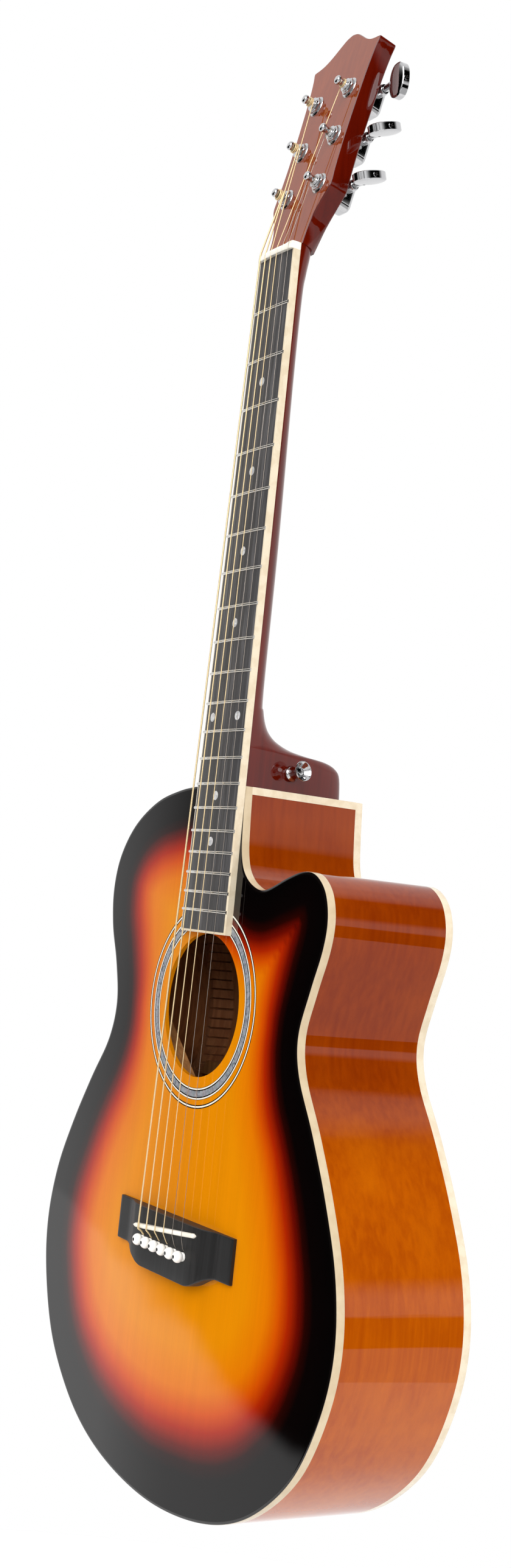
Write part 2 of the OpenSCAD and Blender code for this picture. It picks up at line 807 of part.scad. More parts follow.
// Points along string i: round its post, over the nut and the saddle, and into its hole.
function string_path(i) =
    let (
        r = string_r[i - 1],
        side = i <= 3 ? 1 : -1,
        loop_r = wrap_r + 0.25 + r,
        count = wrap_turns * wrap_steps,
        sx = string_x(i, pin_step),
        hole_u = pin_u - string_notch
    )
    concat(
        [for (k = [0:count]) let (a = side * (count - k) * 360 / wrap_steps)
            from_head([
                string_wrap_x(i) + side * loop_r * cos(a),
                -5 - r - (count - k) / wrap_steps * min(2.1 * r, 1.1),
                string_wrap_s(i) + side * loop_r * sin(a)
            ])],
        [
            from_neck([string_x(i, nut_step), -(board_t + string_over_nut), zu(-5)]),
            from_neck([string_x(i, nut_step), -(board_t + string_over_nut), zu(0)]),
            for (edge = [-1, 1]) [
                sx, -saddle_top(sx) - r - 0.03,
                zu(saddle_u - (sx - 1) * tan(saddle_turn) + edge * (saddle_w / 2 + 0.1))
            ],
            [sx, -bridge_h - r - 0.3, zu(hole_u - r - 0.3)],
            [sx, -bridge_h + r, zu(hole_u)],
            [sx, plate_t + 4, zu(hole_u)]
        ]
    );

function string_axes(t, on_post) =
    let (
        m = on_post ? cross([0, 1, 0], t) : t.x * t - [1, 0, 0],
        n = m / norm(m)
    )
    [n, cross(t, n)];

// A round tube of radius r along p; the first loops points lie round the post.
module tube(p, r, loops)
    let (
        n = len(p),
        m = string_sides,
        rings = [for (j = [0:n - 1])
            let (
                a = p[j] - p[max(j - 1, 0)], b = p[min(j + 1, n - 1)] - p[j],
                t = (j == 0 ? [0, 0, 0] : a / norm(a)) + (j == n - 1 ? [0, 0, 0] : b / norm(b)),
                axes = string_axes(t / norm(t), j < loops)
            )
            for (k = [0:m - 1]) let (c = 360 * k / m)
                p[j] + r * (cos(c) * axes[0] + sin(c) * axes[1])]
    )
    polyhedron(
        points = rings,
        faces = concat(
            [[for (k = [0:m - 1]) k]],
            [[for (k = [m - 1:-1:0]) (n - 1) * m + k]],
            [for (j = [0:n - 2], k = [0:m - 1]) let (e = (k + 1) % m)
                [j * m + k, (j + 1) * m + k, (j + 1) * m + e]],
            [for (j = [0:n - 2], k = [0:m - 1]) let (e = (k + 1) % m)
                [j * m + k, (j + 1) * m + e, j * m + e]]
        )
    );

// String i with its ball end under the bridge plate.
module string(i)
    let (p = string_path(i)) {
        tube(p, string_r[i - 1], wrap_turns * wrap_steps + 1);
        translate(p[len(p) - 1] + [0, 1.2, 1.4]) along_x(1.9, -1.5, 1.5);
    }

// ---- Choice of node ------------------------------------------------------------------

soundboard();
back_plate();
side_bass();
side_treble();
binding_front();
binding_back();
binding_corner();
linings();
neck_block();
tail_block();
top_braces();
back_braces();
bridge_plate();
rosette();
bridge();
saddle();
bridge_pins();
strap_button();
neck();
truss_rod();
truss_rod_nut();
fingerboard();
fingerboard_binding();
frets();
fret_markers();
nut();
tuner_housings();
tuner_bushings();
tuner_washers();
tuner_screws();
for (i = [1:6]) {
    tuner_post(i);
    tuner_gear(i);
    tuner_worm(i);
    tuner_button(i);
    color("khaki") string(i);
}
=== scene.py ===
# Acoustic guitar: its looks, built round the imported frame.
# Lengths in this script are millimetres, and turn into metres where a mesh is made.
# u is the distance down from the nut's front edge, as along a ruler laid on the strings.
import json
import math

import bmesh
import bpy
from mathutils import Matrix, Vector, geometry, kdtree


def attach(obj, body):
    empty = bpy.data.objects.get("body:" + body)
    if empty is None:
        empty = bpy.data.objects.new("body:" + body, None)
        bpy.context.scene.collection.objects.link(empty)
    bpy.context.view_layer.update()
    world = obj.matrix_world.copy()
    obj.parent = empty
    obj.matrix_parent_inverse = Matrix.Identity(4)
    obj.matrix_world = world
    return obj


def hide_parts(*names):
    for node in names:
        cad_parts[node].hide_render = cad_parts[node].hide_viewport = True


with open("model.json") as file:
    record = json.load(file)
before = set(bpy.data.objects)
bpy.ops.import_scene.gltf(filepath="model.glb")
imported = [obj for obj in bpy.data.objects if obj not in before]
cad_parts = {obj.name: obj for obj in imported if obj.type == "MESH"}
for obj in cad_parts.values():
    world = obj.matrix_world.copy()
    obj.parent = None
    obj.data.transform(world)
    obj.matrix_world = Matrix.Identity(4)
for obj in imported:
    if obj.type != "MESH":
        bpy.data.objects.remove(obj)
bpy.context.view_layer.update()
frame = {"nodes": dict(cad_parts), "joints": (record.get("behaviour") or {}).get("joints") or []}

MM = 0.001

# ---- Driving sizes, mm ----------------------------------------------------------------
# Endings: _U is a distance u, _HALF a half width, _T a thickness, _H a height, _R a radius.

HANG = 20.0
SCALE_LENGTH = 650.0
BODY_START = 361.5
BODY_LENGTH = 470.0
DEPTH_NECK, DEPTH_TAIL = 95.0, 100.5
PLATE = 3.0
BINDING_T, BINDING_H = 2.0, 6.0
# Distance in from the outline of the sides', the lining webs' and the lining blocks' inner faces.
WALL_IN, WEB_IN, KERF_IN = 3.0, 4.2, 9.0
NECK_ANGLE, HEAD_ANGLE = math.radians(0.25), math.radians(12.4)
HOLE_U, HOLE_R = 507.5, 47.5
HOLE_CENTRE = Vector((0, -HANG - HOLE_U))
NUT_HALF, BOARD_END_HALF, BOARD_END = 21.4, 29.0, 460.0
NUT_WIDE, NUT_STEP, NUT_LIFT = 5.0, 7.1, 2.6
BOARD_T, BOARD_CROWN, BOARD_R = 5.2, 0.8, 300.0
FRETS = 20
HEAD_T = 14.0
PIN_STEP, PIN_U, PIN_R = 10.8, 667.5, 2.45
BRIDGE_H, BRIDGE_HALF = 9.0, 74.6
BRIDGE_FRONT, BRIDGE_REAR, BRIDGE_BELLY = 646.4, 675.2, 685.6
SADDLE_U, SADDLE_HALF, SADDLE_SLANT = 655.8, 38.6, math.radians(5.8)
POST_X, POST_FIRST, POST_STEP = 20.0, 45.3, 36.7
SHAFT_Y, SHAFT_S = 19.5, 5.9
BUTTON_NEAR, BUTTON_L, BUTTON_H, BUTTON_T = 21.0, 16.0, 24.0, 6.6
BUTTON_TURN = [119, 121, 15, 70, 20, 50]
POST_WAIST = 2.3
STRING_R = [0.68, 0.54, 0.42, 0.32, 0.2, 0.15]


def zu(u):
    """Height of a point u below the nut."""
    return -(HANG + u)


def back_y(u):
    """Depth of the back's outer face at u."""
    return DEPTH_NECK + (DEPTH_TAIL - DEPTH_NECK) * (u - BODY_START) / BODY_LENGTH


NECK = (Matrix.Translation((0, 0, zu(BODY_START))) @ Matrix.Rotation(-NECK_ANGLE, 4, "X")
        @ Matrix.Translation((0, 0, -zu(BODY_START))))
HEAD = NECK @ Matrix.Translation((0, 0, zu(-NUT_WIDE))) @ Matrix.Rotation(-HEAD_ANGLE, 4, "X")
SHAFT = Matrix.Translation((0, SHAFT_Y, SHAFT_S))
JOINTS = {j["name"]: j for j in frame["joints"]}


def tuner_frame(i):
    """Frame of tuner i: x out along its shaft, y into the headstock, z up the headstock."""
    post = JOINTS[f"post_turn_{i}"]
    out = Vector(JOINTS[f"knob_turn_{i}"]["axis"])
    into = -Vector(post["axis"])
    turn = Matrix((out, into, Vector((1, 0, 0)).cross(into))).transposed().to_4x4()
    return Matrix.Translation(Vector(post["pos_m"]) / MM) @ turn


# ---- Node trees written as expressions ------------------------------------------------

def operator(name, swapped=False):
    """A method that joins two sockets by a maths node."""
    def method(self, other):
        pair = (other, self) if swapped else (self, other)
        return self.tree.maths(name, *pair)
    return method


class Field:
    """An output socket, with Python's operators for its maths."""

    def __init__(self, tree, socket):
        self.tree, self.socket = tree, socket

    __add__ = __radd__ = operator("ADD")
    __sub__, __rsub__ = operator("SUBTRACT"), operator("SUBTRACT", True)
    __mul__ = __rmul__ = operator("MULTIPLY")
    __truediv__, __rpow__ = operator("DIVIDE"), operator("POWER", True)
    __gt__, __lt__ = operator("GREATER_THAN"), operator("LESS_THAN")


class Tree:
    """A node tree that is built by calling its nodes."""

    def __init__(self, nodes, links):
        self.nodes, self.links = nodes, links

    def node(self, kind, settings=None, sockets=None, output=0):
        """Adds a node with its settings, then its sockets' values or links."""
        made = self.nodes.new(kind)
        for key, value in (settings or {}).items():
            if key == "stops":
                ramp = made.color_ramp.elements
                while len(ramp) < len(value):
                    ramp.new(0.5)
                for stop, (at, colour) in zip(ramp, value):
                    stop.position, stop.color = at, (*colour, 1)
            else:
                setattr(made, key, value)
        for key, value in (sockets or {}).items():
            if isinstance(value, Field):
                self.links.new(value.socket, made.inputs[key])
            else:
                made.inputs[key].default_value = value
        return Field(self, made.outputs[output])

    def maths(self, operation, a, b=0.0):
        return self.node("ShaderNodeMath", {"operation": operation}, {0: a, 1: b})

    def split(self, vector):
        """The x, y and z of a vector."""
        parts = self.node("ShaderNodeSeparateXYZ", {}, {0: vector}).socket.node.outputs
        return [Field(self, s) for s in parts]

    def ease(self, value, low, high, start=0.0, end=1.0):
        """A smooth step of value from start to end between low and high."""
        return self.node("ShaderNodeMapRange", {"interpolation_type": "SMOOTHSTEP"},
                         {0: value, 1: low, 2: high, 3: start, 4: end})


def table_at(table, x):
    """The value at x of a table of (x, value) rows, held beyond its ends."""
    for (a, p), (b, q) in zip(table, table[1:]):
        if x <= b:
            return p + (q - p) * max(0, x - a) / (b - a)
    return table[-1][1]


def tint(red, green, blue):
    """A colour given on the 0 to 255 display scale, as light values."""
    return tuple(((v / 255 + 0.055) / 1.055) ** 2.4 if v > 10 else v / 3295
                 for v in (red, green, blue))


class Finish(Tree):
    """A material whose pattern lies in the piece's own coordinates, in mm."""

    def __init__(self, name):
        self.material = bpy.data.materials.new(name)
        self.material.use_nodes = True
        tree = self.material.node_tree
        tree.nodes.clear()
        super().__init__(tree.nodes, tree.links)
        metres = self.node("ShaderNodeTexCoord", {}, {}, "Object")
        self.place = self.node("ShaderNodeVectorMath", {"operation": "SCALE"},
                               {0: metres, 3: 1 / MM})

    def attribute(self, name):
        return self.node("ShaderNodeAttribute", {"attribute_name": name}, {}, "Fac")

    def grain(self, across, along, detail, twist=0.0):
        """Noise drawn out along z: across and along are its lengths in mm."""
        stretched = self.node("ShaderNodeMapping", {"vector_type": "POINT"},
                              {0: self.place, 3: (1 / across, 1 / across, 1 / along)})
        return self.node("ShaderNodeTexNoise", {},
                         {0: stretched, "Scale": 1.0, "Detail": detail, "Distortion": twist})

    def mottle(self, length, detail=2.0):
        return self.grain(length, length, detail)

    def mix(self, factor, a, b, blend="MIX"):
        """Colours a to b by factor."""
        pair = {0: factor}
        for key, colour in ((6, a), (7, b)):
            pair[key] = colour if isinstance(colour, Field) else (*colour, 1)
        return self.node("ShaderNodeMix", {"data_type": "RGBA", "blend_type": blend}, pair, 2)

    def ramp(self, factor, *stops):
        return self.node("ShaderNodeValToRGB", {"stops": stops}, {0: factor})

    def shade(self, colour, value):
        """A colour made lighter or darker by a value near 1."""
        return self.node("ShaderNodeVectorMath", {"operation": "SCALE"}, {0: colour, 3: value})

    def bump(self, height, depth):
        """Relief of a height field, depth in mm."""
        return self.node("ShaderNodeBump", {}, {"Height": height, "Distance": depth * MM,
                                                "Strength": 1.0})

    def done(self, **sockets):
        """Feeds the shader; a socket's name has underscores for its spaces."""
        named = {}
        for key, value in sockets.items():
            flat = isinstance(value, tuple) and len(value) == 3
            named[key.replace("_", " ")] = (*value, 1) if flat else value
        shader = self.node("ShaderNodeBsdfPrincipled", {}, named)
        self.links.new(shader.socket, self.nodes.new("ShaderNodeOutputMaterial").inputs[0])
        return self.material


# ---- Materials ------------------------------------------------------------------------

LACQUER = {"Coat_Weight": 1.0, "Coat_Roughness": 0.03, "Coat_IOR": 1.5,
           "Specular_IOR_Level": 0.0}


def sunburst_top():
    """Amber in the middle through red to black at the edge, under clear gloss."""
    f = Finish("sunburst_top")
    fine = f.grain(0.9, 60, 4.0)
    broad = f.grain(9, 260, 3.0, 0.4)
    cloud = f.mottle(70)
    edge = f.attribute("burst") + (cloud - 0.5) * 0.16
    colour = f.ramp(edge / 3.0,
                    (0.0, tint(4, 3, 3)), (0.24, tint(7, 3, 3)), (0.32, tint(34, 4, 2)),
                    (0.4, tint(96, 10, 2)), (0.5, tint(160, 34, 2)), (0.6, tint(196, 74, 2)),
                    (0.74, tint(212, 112, 3)), (1.0, tint(216, 130, 4)))
    colour = f.shade(colour, 0.86 + fine * 0.14 + broad * 0.14)
    return f.done(Base_Color=colour, Roughness=0.32 + fine * 0.08,
                  Normal=f.bump(f.mottle(34, 1.0), 0.012), **LACQUER)


def stained_wood(name, dark, light, glow, upper=(1, 1, 1)):
    """Stained wood under gloss, with soft clouds and fine pores; upper tints its top end."""
    f = Finish(name)
    pores = f.grain(0.5, 9, 3.0)
    streak = f.grain(4, 140, 4.0, 0.3)
    cloud = f.mottle(60)
    colour = f.mix(f.ease(streak * 0.6 + cloud * 0.4, 0.25, 0.75), dark, light)
    colour = f.mix(f.ease(cloud, 0.5, 0.8, 0.0, 0.4), colour, glow)
    colour = f.shade(colour, 0.9 + pores * 0.2)
    height = f.split(f.place)[2]
    deep = f.mix(1.0, colour, upper, "MULTIPLY")
    colour = f.mix(f.ease(height, zu(600), zu(530)), colour, deep)
    return f.done(Base_Color=colour, Roughness=0.3 + pores * 0.1,
                  Normal=f.bump(f.mottle(40, 1.0), 0.02), **LACQUER)


def bare_wood(name, dark, light):
    f = Finish(name)
    fibre = f.grain(0.7, 30, 4.0)
    bands = f.grain(4, 150, 3.0, 0.5)
    colour = f.mix(f.ease(bands, 0.3, 0.7), dark, light)
    return f.done(Base_Color=f.shade(colour, 0.85 + fibre * 0.3), Roughness=0.6 + fibre * 0.2,
                  Normal=f.bump(fibre, 0.05))


def ebonised(name, tone, sheen, depth):
    """Black-stained hardwood with open pores along the grain."""
    f = Finish(name)
    pores = f.grain(0.35, 12, 4.0)
    bands = f.grain(2.2, 90, 3.0, 0.6)
    colour = f.mix(f.ease(bands, 0.42, 0.75), tone, tuple(v * 2.6 for v in tone))
    return f.done(Base_Color=f.shade(colour, 0.6 + pores * 0.8), Roughness=sheen + pores * 0.12,
                  Normal=f.bump(pores, depth))


def moulded(name, base, shade, gloss):
    """Polished plastic or bone with faint clouds."""
    f = Finish(name)
    cloud = f.mottle(7, 3.0)
    colour = f.mix(f.ease(cloud, 0.35, 0.65), base, shade)
    return f.done(Base_Color=colour, Roughness=gloss + cloud * 0.08,
                  Normal=f.bump(f.mottle(2.5), 0.004), Coat_Weight=0.4,
                  Coat_Roughness=0.05)


def burst_binding():
    """Cream binding whose front face is under the black of the burst."""
    f = Finish("front_binding")
    y = f.split(f.place)[1]
    cloud = f.mottle(9, 3.0)
    cream = f.mix(f.ease(cloud, 0.3, 0.7), tint(206, 188, 157), tint(197, 177, 145))
    colour = f.mix(f.ease(y, 0.3, 0.55), tint(12, 9, 8), cream)
    return f.done(Base_Color=colour, Roughness=0.3 + cloud * 0.06, **LACQUER)


def metal(name, colour, rough, brushed=0.02, fine=0.4):
    """Bare or plated metal with faint wear and fine marks."""
    f = Finish(name)
    wear = f.mottle(3.0, 4.0)
    lines = f.grain(fine, fine * 3, 2.0)
    shade = f.mix(wear, colour, tuple(v * 0.9 for v in colour))
    return f.done(Base_Color=shade, Metallic=1.0, Roughness=rough + wear * brushed,
                  Normal=f.bump(lines, 0.0006))


def pearl(f, size, base, high):
    """The colour of shell: patches with soft shifts of grey, green and rose."""
    warp = f.node("ShaderNodeTexNoise", {}, {0: f.place, "Scale": 0.5 / size, "Detail": 3.0},
                  "Color")
    shifted = f.node("ShaderNodeVectorMath", {"operation": "MULTIPLY_ADD"},
                     {0: warp, 1: (size, size, size), 2: f.place})
    patch = f.node("ShaderNodeTexVoronoi", {"feature": "F1"},
                   {0: shifted, "Scale": 1 / size}, "Color")
    r, g, b = f.split(patch)
    colour = f.mix(r, tint(*base), tint(*high))
    colour = f.mix(g * 0.3, colour, tint(170, 196, 190))
    return f.mix(b * 0.22, colour, tint(204, 178, 190))


def rosette_inlay():
    """Shell between black and white lines, with a thin white line outside."""
    f = Finish("rosette_inlay")
    x, _, z = f.split(f.place)
    drop = z - zu(HOLE_U)
    r = f.maths("SQRT", x * x + drop * drop)
    angle = f.maths("ARCTAN2", x, drop) * (40 / math.pi)
    seam = f.maths("ABSOLUTE", f.maths("FRACT", angle) - 0.5) > 0.485
    shell = f.mix(seam, pearl(f, 1.8, (84, 88, 98), (136, 140, 148)), tint(60, 60, 64))
    white, black = tint(236, 232, 220), tint(10, 9, 9)
    colour = black
    for inner, outer, tone in ((54.9, 55.8, white), (56.6, 60.4, shell), (61.2, 62.1, white),
                               (66.4, 67.4, white)):
        colour = f.mix((r > inner) * (r < outer), colour, tone)
    return f.done(Base_Color=colour, Roughness=0.25 + seam * 0.1, **LACQUER)


def pearl_dot():
    f = Finish("pearl_dot")
    return f.done(Base_Color=pearl(f, 1.6, (168, 168, 172), (226, 226, 224)), Roughness=0.22,
                  Coat_Weight=0.6, Coat_Roughness=0.05)


def winding(name, colour):
    """Wrap wire whose colour takes painted shade in the grooves between its turns, from a groove
    attribute.
    """
    f = Finish(name)
    groove = f.attribute("groove")
    wear = f.mottle(6, 3.0)
    # Painted shade: the colour is darkened by up to 0.6 where the groove attribute is 1; nothing in
    # this script stores that attribute on the strings.
    shade = f.shade(f.mix(wear, colour, tuple(v * 0.8 for v in colour)), 1 - groove * 0.6)
    return f.done(Base_Color=shade, Metallic=0.55, Roughness=0.34 + wear * 0.1)


TOP = sunburst_top()
SIDE = stained_wood("side_lacquer", tint(154, 64, 2), tint(176, 83, 2), tint(188, 98, 4),
                    upper=(0.58, 0.4, 0.5))
BACK = stained_wood("back_lacquer", tint(118, 42, 3), tint(140, 56, 3), tint(152, 68, 6))
NECK_WOOD = stained_wood("neck_lacquer", tint(76, 10, 2), tint(94, 16, 2), tint(106, 26, 4))
HEAD_FACE = stained_wood("head_face", tint(122, 46, 8), tint(138, 57, 12), tint(146, 65, 16))
INNER = bare_wood("inner_wood", tint(140, 92, 48), tint(170, 118, 66))
INNER_WALL = bare_wood("inner_wall", tint(150, 92, 50), tint(180, 118, 66))
KERF = bare_wood("kerfed_wood", tint(160, 104, 66), tint(190, 132, 86))
CREAM = moulded("cream_binding", tint(226, 212, 186), tint(216, 199, 170), 0.24)
FRONT_BINDING = burst_binding()
BLACK_BRIDGE = ebonised("bridge_black", tint(16, 15, 15), 0.42, 0.02)
BOARD = ebonised("fingerboard_black", tint(58, 57, 58), 0.36, 0.03)
BONE = moulded("bone", tint(250, 247, 238), tint(240, 233, 216), 0.2)
PIN_WHITE = moulded("pin_white", tint(252, 250, 246), tint(244, 240, 232), 0.14)
PIN_DOT = moulded("pin_dot", tint(16, 15, 15), tint(26, 24, 24), 0.2)
ROSETTE = rosette_inlay()
DOT = pearl_dot()
CHROME = metal("chrome", (0.62, 0.62, 0.63), 0.06)
NICKEL = metal("fret_nickel", (0.78, 0.76, 0.72), 0.16, 0.06, 0.25)
STEEL = metal("rod_steel", (0.45, 0.45, 0.47), 0.32, 0.15)
BRASS = metal("gear_brass", (0.78, 0.58, 0.26), 0.26, 0.1)
BRONZE = winding("bronze_winding", (0.95, 0.74, 0.42))
PLAIN = metal("plain_string", (0.5, 0.44, 0.38), 0.3, 0.05, 0.2)
# Painted shade: a near-black coat for crosses set into screw heads where their shaded slots would be;
# no slot is cut.
PAINTED_SLOT_SHADE = moulded("painted_slot_shade", tint(22, 20, 20), tint(34, 30, 28), 0.5)


# ---- Shapes ---------------------------------------------------------------------------

class Shape:
    """Points in mm and faces, gathered into one piece. Each face has the number of its coat."""

    def __init__(self):
        self.points, self.faces, self.coats = [], [], []

    def add(self, points, faces, coat=0, move=None, start=None):
        """Adds points and faces; the faces count their points from start, or from the new ones."""
        start = len(self.points) if start is None else start
        self.points += [move @ Vector(p) for p in points] if move else [Vector(p) for p in points]
        self.faces += [tuple(start + k for k in face) for face in faces]
        self.coats += [coat] * len(faces)
        return self

    def piece(self, name, *coats, sharp=32, fields=None, recalc=True):
        """The finished object, with coats its materials."""
        mesh = bpy.data.meshes.new(name)
        mesh.from_pydata([p * MM for p in self.points], [], self.faces)
        for coat in coats:
            mesh.materials.append(coat)
        mesh.polygons.foreach_set("material_index", self.coats)
        for key, values in (fields or {}).items():
            mesh.attributes.new(key, "FLOAT", "POINT").data.foreach_set("value", values)
        if recalc:
            work = bmesh.new()
            work.from_mesh(mesh)
            bmesh.ops.remove_doubles(work, verts=work.verts, dist=1e-7)
            bmesh.ops.recalc_face_normals(work, faces=work.faces)
            work.to_mesh(mesh)
            work.free()
        return finish_mesh(in_scene(name, mesh), sharp)


def in_scene(name, data):
    """A new object in the scene."""
    holder = bpy.data.objects.new(name, data)
    bpy.context.scene.collection.objects.link(holder)
    return holder


def finish_mesh(piece, sharp):
    """Shades a piece smooth, with edges sharper than the angle kept."""
    mesh = piece.data
    mesh.polygons.foreach_set("use_smooth", [True] * len(mesh.polygons))
    mesh.set_sharp_from_angle(angle=math.radians(sharp))
    mesh.update()
    return piece


def settle(piece, slot, *nodes, body="root"):
    """The piece rides on its body and stands for CAD nodes; slot is not used."""
    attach(piece, body)
    if nodes:
        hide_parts(*nodes)


def evenly(start, end, count):
    """Numbers from start to end in count equal steps, both ends in."""
    return [start + (end - start) * k / count for k in range(count + 1)]


def loft(rings, ends=True):
    """Faces through rings of equal length; ends closes the first and last with a face each."""
    n = len(rings[0])
    points = [p for ring in rings for p in ring]
    faces = []
    for j in range(len(rings) - 1):
        for k in range(n):
            e = (k + 1) % n
            faces.append((j * n + k, j * n + e, (j + 1) * n + e, (j + 1) * n + k))
    if ends:
        faces.append(tuple(range(n))[::-1])
        faces.append(tuple((len(rings) - 1) * n + k for k in range(n)))
    return points, faces


def turned(profile, sides):
    """A lathe shape round z from (radius, height) pairs; a zero radius is a pole."""
    points, faces, rows = [], [], []
    for r, h in profile:
        if r == 0:
            rows.append([len(points)] * sides)
            points.append((0, 0, h))
        else:
            rows.append(list(range(len(points), len(points) + sides)))
            points += [(r * math.cos(a), r * math.sin(a), h)
                       for a in (math.tau * k / sides for k in range(sides))]
    for low, high in zip(rows, rows[1:]):
        for k in range(sides):
            e = (k + 1) % sides
            face = []
            for v in (low[k], low[e], high[e], high[k]):
                if v not in face:
                    face.append(v)
            if len(face) > 2:
                faces.append(tuple(face))
    return points, faces


def ring_of(profile, sides):
    """A lathe shape whose profile closes on itself, such as a washer."""
    return turned([*profile, profile[0]], sides)


def box(xs, ys, zs):
    """A box between pairs of x, y and z."""
    faces = [(0, 1, 3, 2), (4, 6, 7, 5), (0, 4, 5, 1), (2, 3, 7, 6), (0, 2, 6, 4), (1, 5, 7, 3)]
    return [(x, y, z) for x in xs for y in ys for z in zs], faces


def hermite(a, b, c, d, t):
    """The smooth curve from b to c between neighbours a and d."""
    s, e = (c - a) / 2, (d - b) / 2
    return (b * (2 * t**3 - 3 * t * t + 1) + s * (t**3 - 2 * t * t + t)
            + c * (3 * t * t - 2 * t**3) + e * (t**3 - t * t))


def smooth_path(points, steps):
    """An open curve through points."""
    p = [Vector(q) for q in points]
    last = len(p) - 1
    out = [hermite(p[max(i - 1, 0)], p[i], p[i + 1], p[min(i + 2, last)], k / steps)
           for i in range(last) for k in range(steps)]
    return out + [p[-1]]


def smooth_loop(points, steps):
    """A closed curve through points that keeps its corners of over 25 degrees."""
    n = len(points)
    out, turn = [], []
    for i in range(n):
        a, b = points[i] - points[i - 1], points[(i + 1) % n] - points[i]
        turn.append(a.angle(b) > math.radians(25))
    for i in range(n):
        b, c = points[i], points[(i + 1) % n]
        a = b if turn[i] else points[i - 1]
        d = c if turn[(i + 1) % n] else points[(i + 2) % n]
        out += [hermite(a, b, c, d, k / steps) for k in range(steps)]
    return out


def flat_loops(node, level):
    """The closed outlines of a CAD node's flat face at y = level, longest first, as x and z."""
    mesh = frame["nodes"][node].data
    mesh.calc_loop_triangles()
    key, places, count = {}, [], {}
    for triangle in mesh.loop_triangles:
        corners = [mesh.vertices[v].co / MM for v in triangle.vertices]
        if any(abs(c.y - level) > 0.01 for c in corners):
            continue
        names = []
        for c in corners:
            spot = (round(c.x * 100), round(c.z * 100))
            if spot not in key:
                key[spot] = len(places)
                places.append(Vector((c.x, c.z)))
            names.append(key[spot])
        for k in range(3):
            a, b = names[k], names[(k + 1) % 3]
            count[(a, b)] = count.get((a, b), 0) + 1
    follow = {a: b for (a, b) in count if (b, a) not in count}
    loops = []
    while follow:
        start = next(iter(follow))
        loop, here = [], start
        while here in follow:
            loop.append(places[here])
            here = follow.pop(here)
        loops.append(loop)
    return sorted(loops, key=len_of, reverse=True)


def len_of(loop):
    """Length of a closed loop."""
    return sum((b - a).length for a, b in zip(loop, loop[1:] + loop[:1]))


def area_of(loop):
    """Area in a closed loop, positive if it runs anticlockwise."""
    return sum(a.x * b.y - b.x * a.y for a, b in zip(loop, loop[1:] + loop[:1])) / 2


def body_outline():
    """The body's outline, anticlockwise in x and z, smooth between the CAD's points.

    The front binding is a ring that the truss rod's slot opens under the fingerboard, so its
    edge is one loop; the part with more area in it, from slot to slot, is the outside.
    """
    ring = flat_loops("binding_front", 0)[0]
    near, far = [k for k, p in enumerate(ring) if abs(p.x) < 3.5 and p.y > zu(BODY_START) - 0.5]
    loop = max((ring[near:far + 1], ring[far:] + ring[:near + 1]), key=lambda q: abs(area_of(q)))
    if area_of(loop) < 0:
        loop = loop[::-1]
    return smooth_loop(loop, 3)


OUTLINE = body_outline()
OUTLINE_TREE = kdtree.KDTree(len(OUTLINE))
for number, spot in enumerate(OUTLINE):
    OUTLINE_TREE.insert((spot.x, spot.y, 0), number)
OUTLINE_TREE.balance()


def edge_distance(x, z):
    """Distance from the body's outline, to its points and the lines beside them."""
    spot = Vector((x, z))
    best = 1e9
    for _, k, _ in OUTLINE_TREE.find_n((x, z, 0), 2):
        for a, b in ((OUTLINE[k - 1], OUTLINE[k]), (OUTLINE[k], OUTLINE[(k + 1) % len(OUTLINE)])):
            ab = b - a
            t = max(0, min(1, (spot - a).dot(ab) / ab.length_squared))
            best = min(best, (a + ab * t - spot).length)
    return best


def inset(loop, d):
    """The loop moved in by d; points that would fold over join a neighbour."""
    if d == 0:
        return list(loop)
    n = len(loop)
    moved, good = [], []
    for i in range(n):
        u = (loop[i] - loop[i - 1]).normalized()
        v = (loop[(i + 1) % n] - loop[i]).normalized()
        m, k = Vector((-u.y, u.x)), Vector((-v.y, v.x))
        q = loop[i] + d * (m + k) / max(0.3, 1 + m.dot(k))
        moved.append(q)
        good.append(edge_distance(q.x, q.y) > d * 0.97)
    for i in range(n):
        if not good[i]:
            back = next((k for k in range(1, 60) if good[i - k]), 0)
            ahead = next((k for k in range(1, 60) if good[(i + k) % n]), 0)
            moved[i] = moved[i - back] if back < ahead else moved[(i + ahead) % n]
    return moved


def inside(loop, x, z):
    """Whether a point lies in a closed loop."""
    hit = False
    for a, b in zip(loop, loop[1:] + loop[:1]):
        if (a.y > z) != (b.y > z) and x < (b.x - a.x) * (z - a.y) / (b.y - a.y) + a.x:
            hit = not hit
    return hit


# ---- Body -----------------------------------------------------------------------------

def front(y):
    """A fixed depth, at any u."""
    return lambda u: y


def rear(y):
    """Depth y in front of the back's outer face."""
    return lambda u: back_y(u) - y


# Width of the black border at u.
BURST_WIDTH = [(361, 27), (440, 28), (515, 23), (600, 28), (700, 34), (831, 37)]


def circle_of(r, z, count):
    return [Vector((r * math.cos(a), z + r * math.sin(a)))
            for a in (math.tau * k / count for k in range(count))]


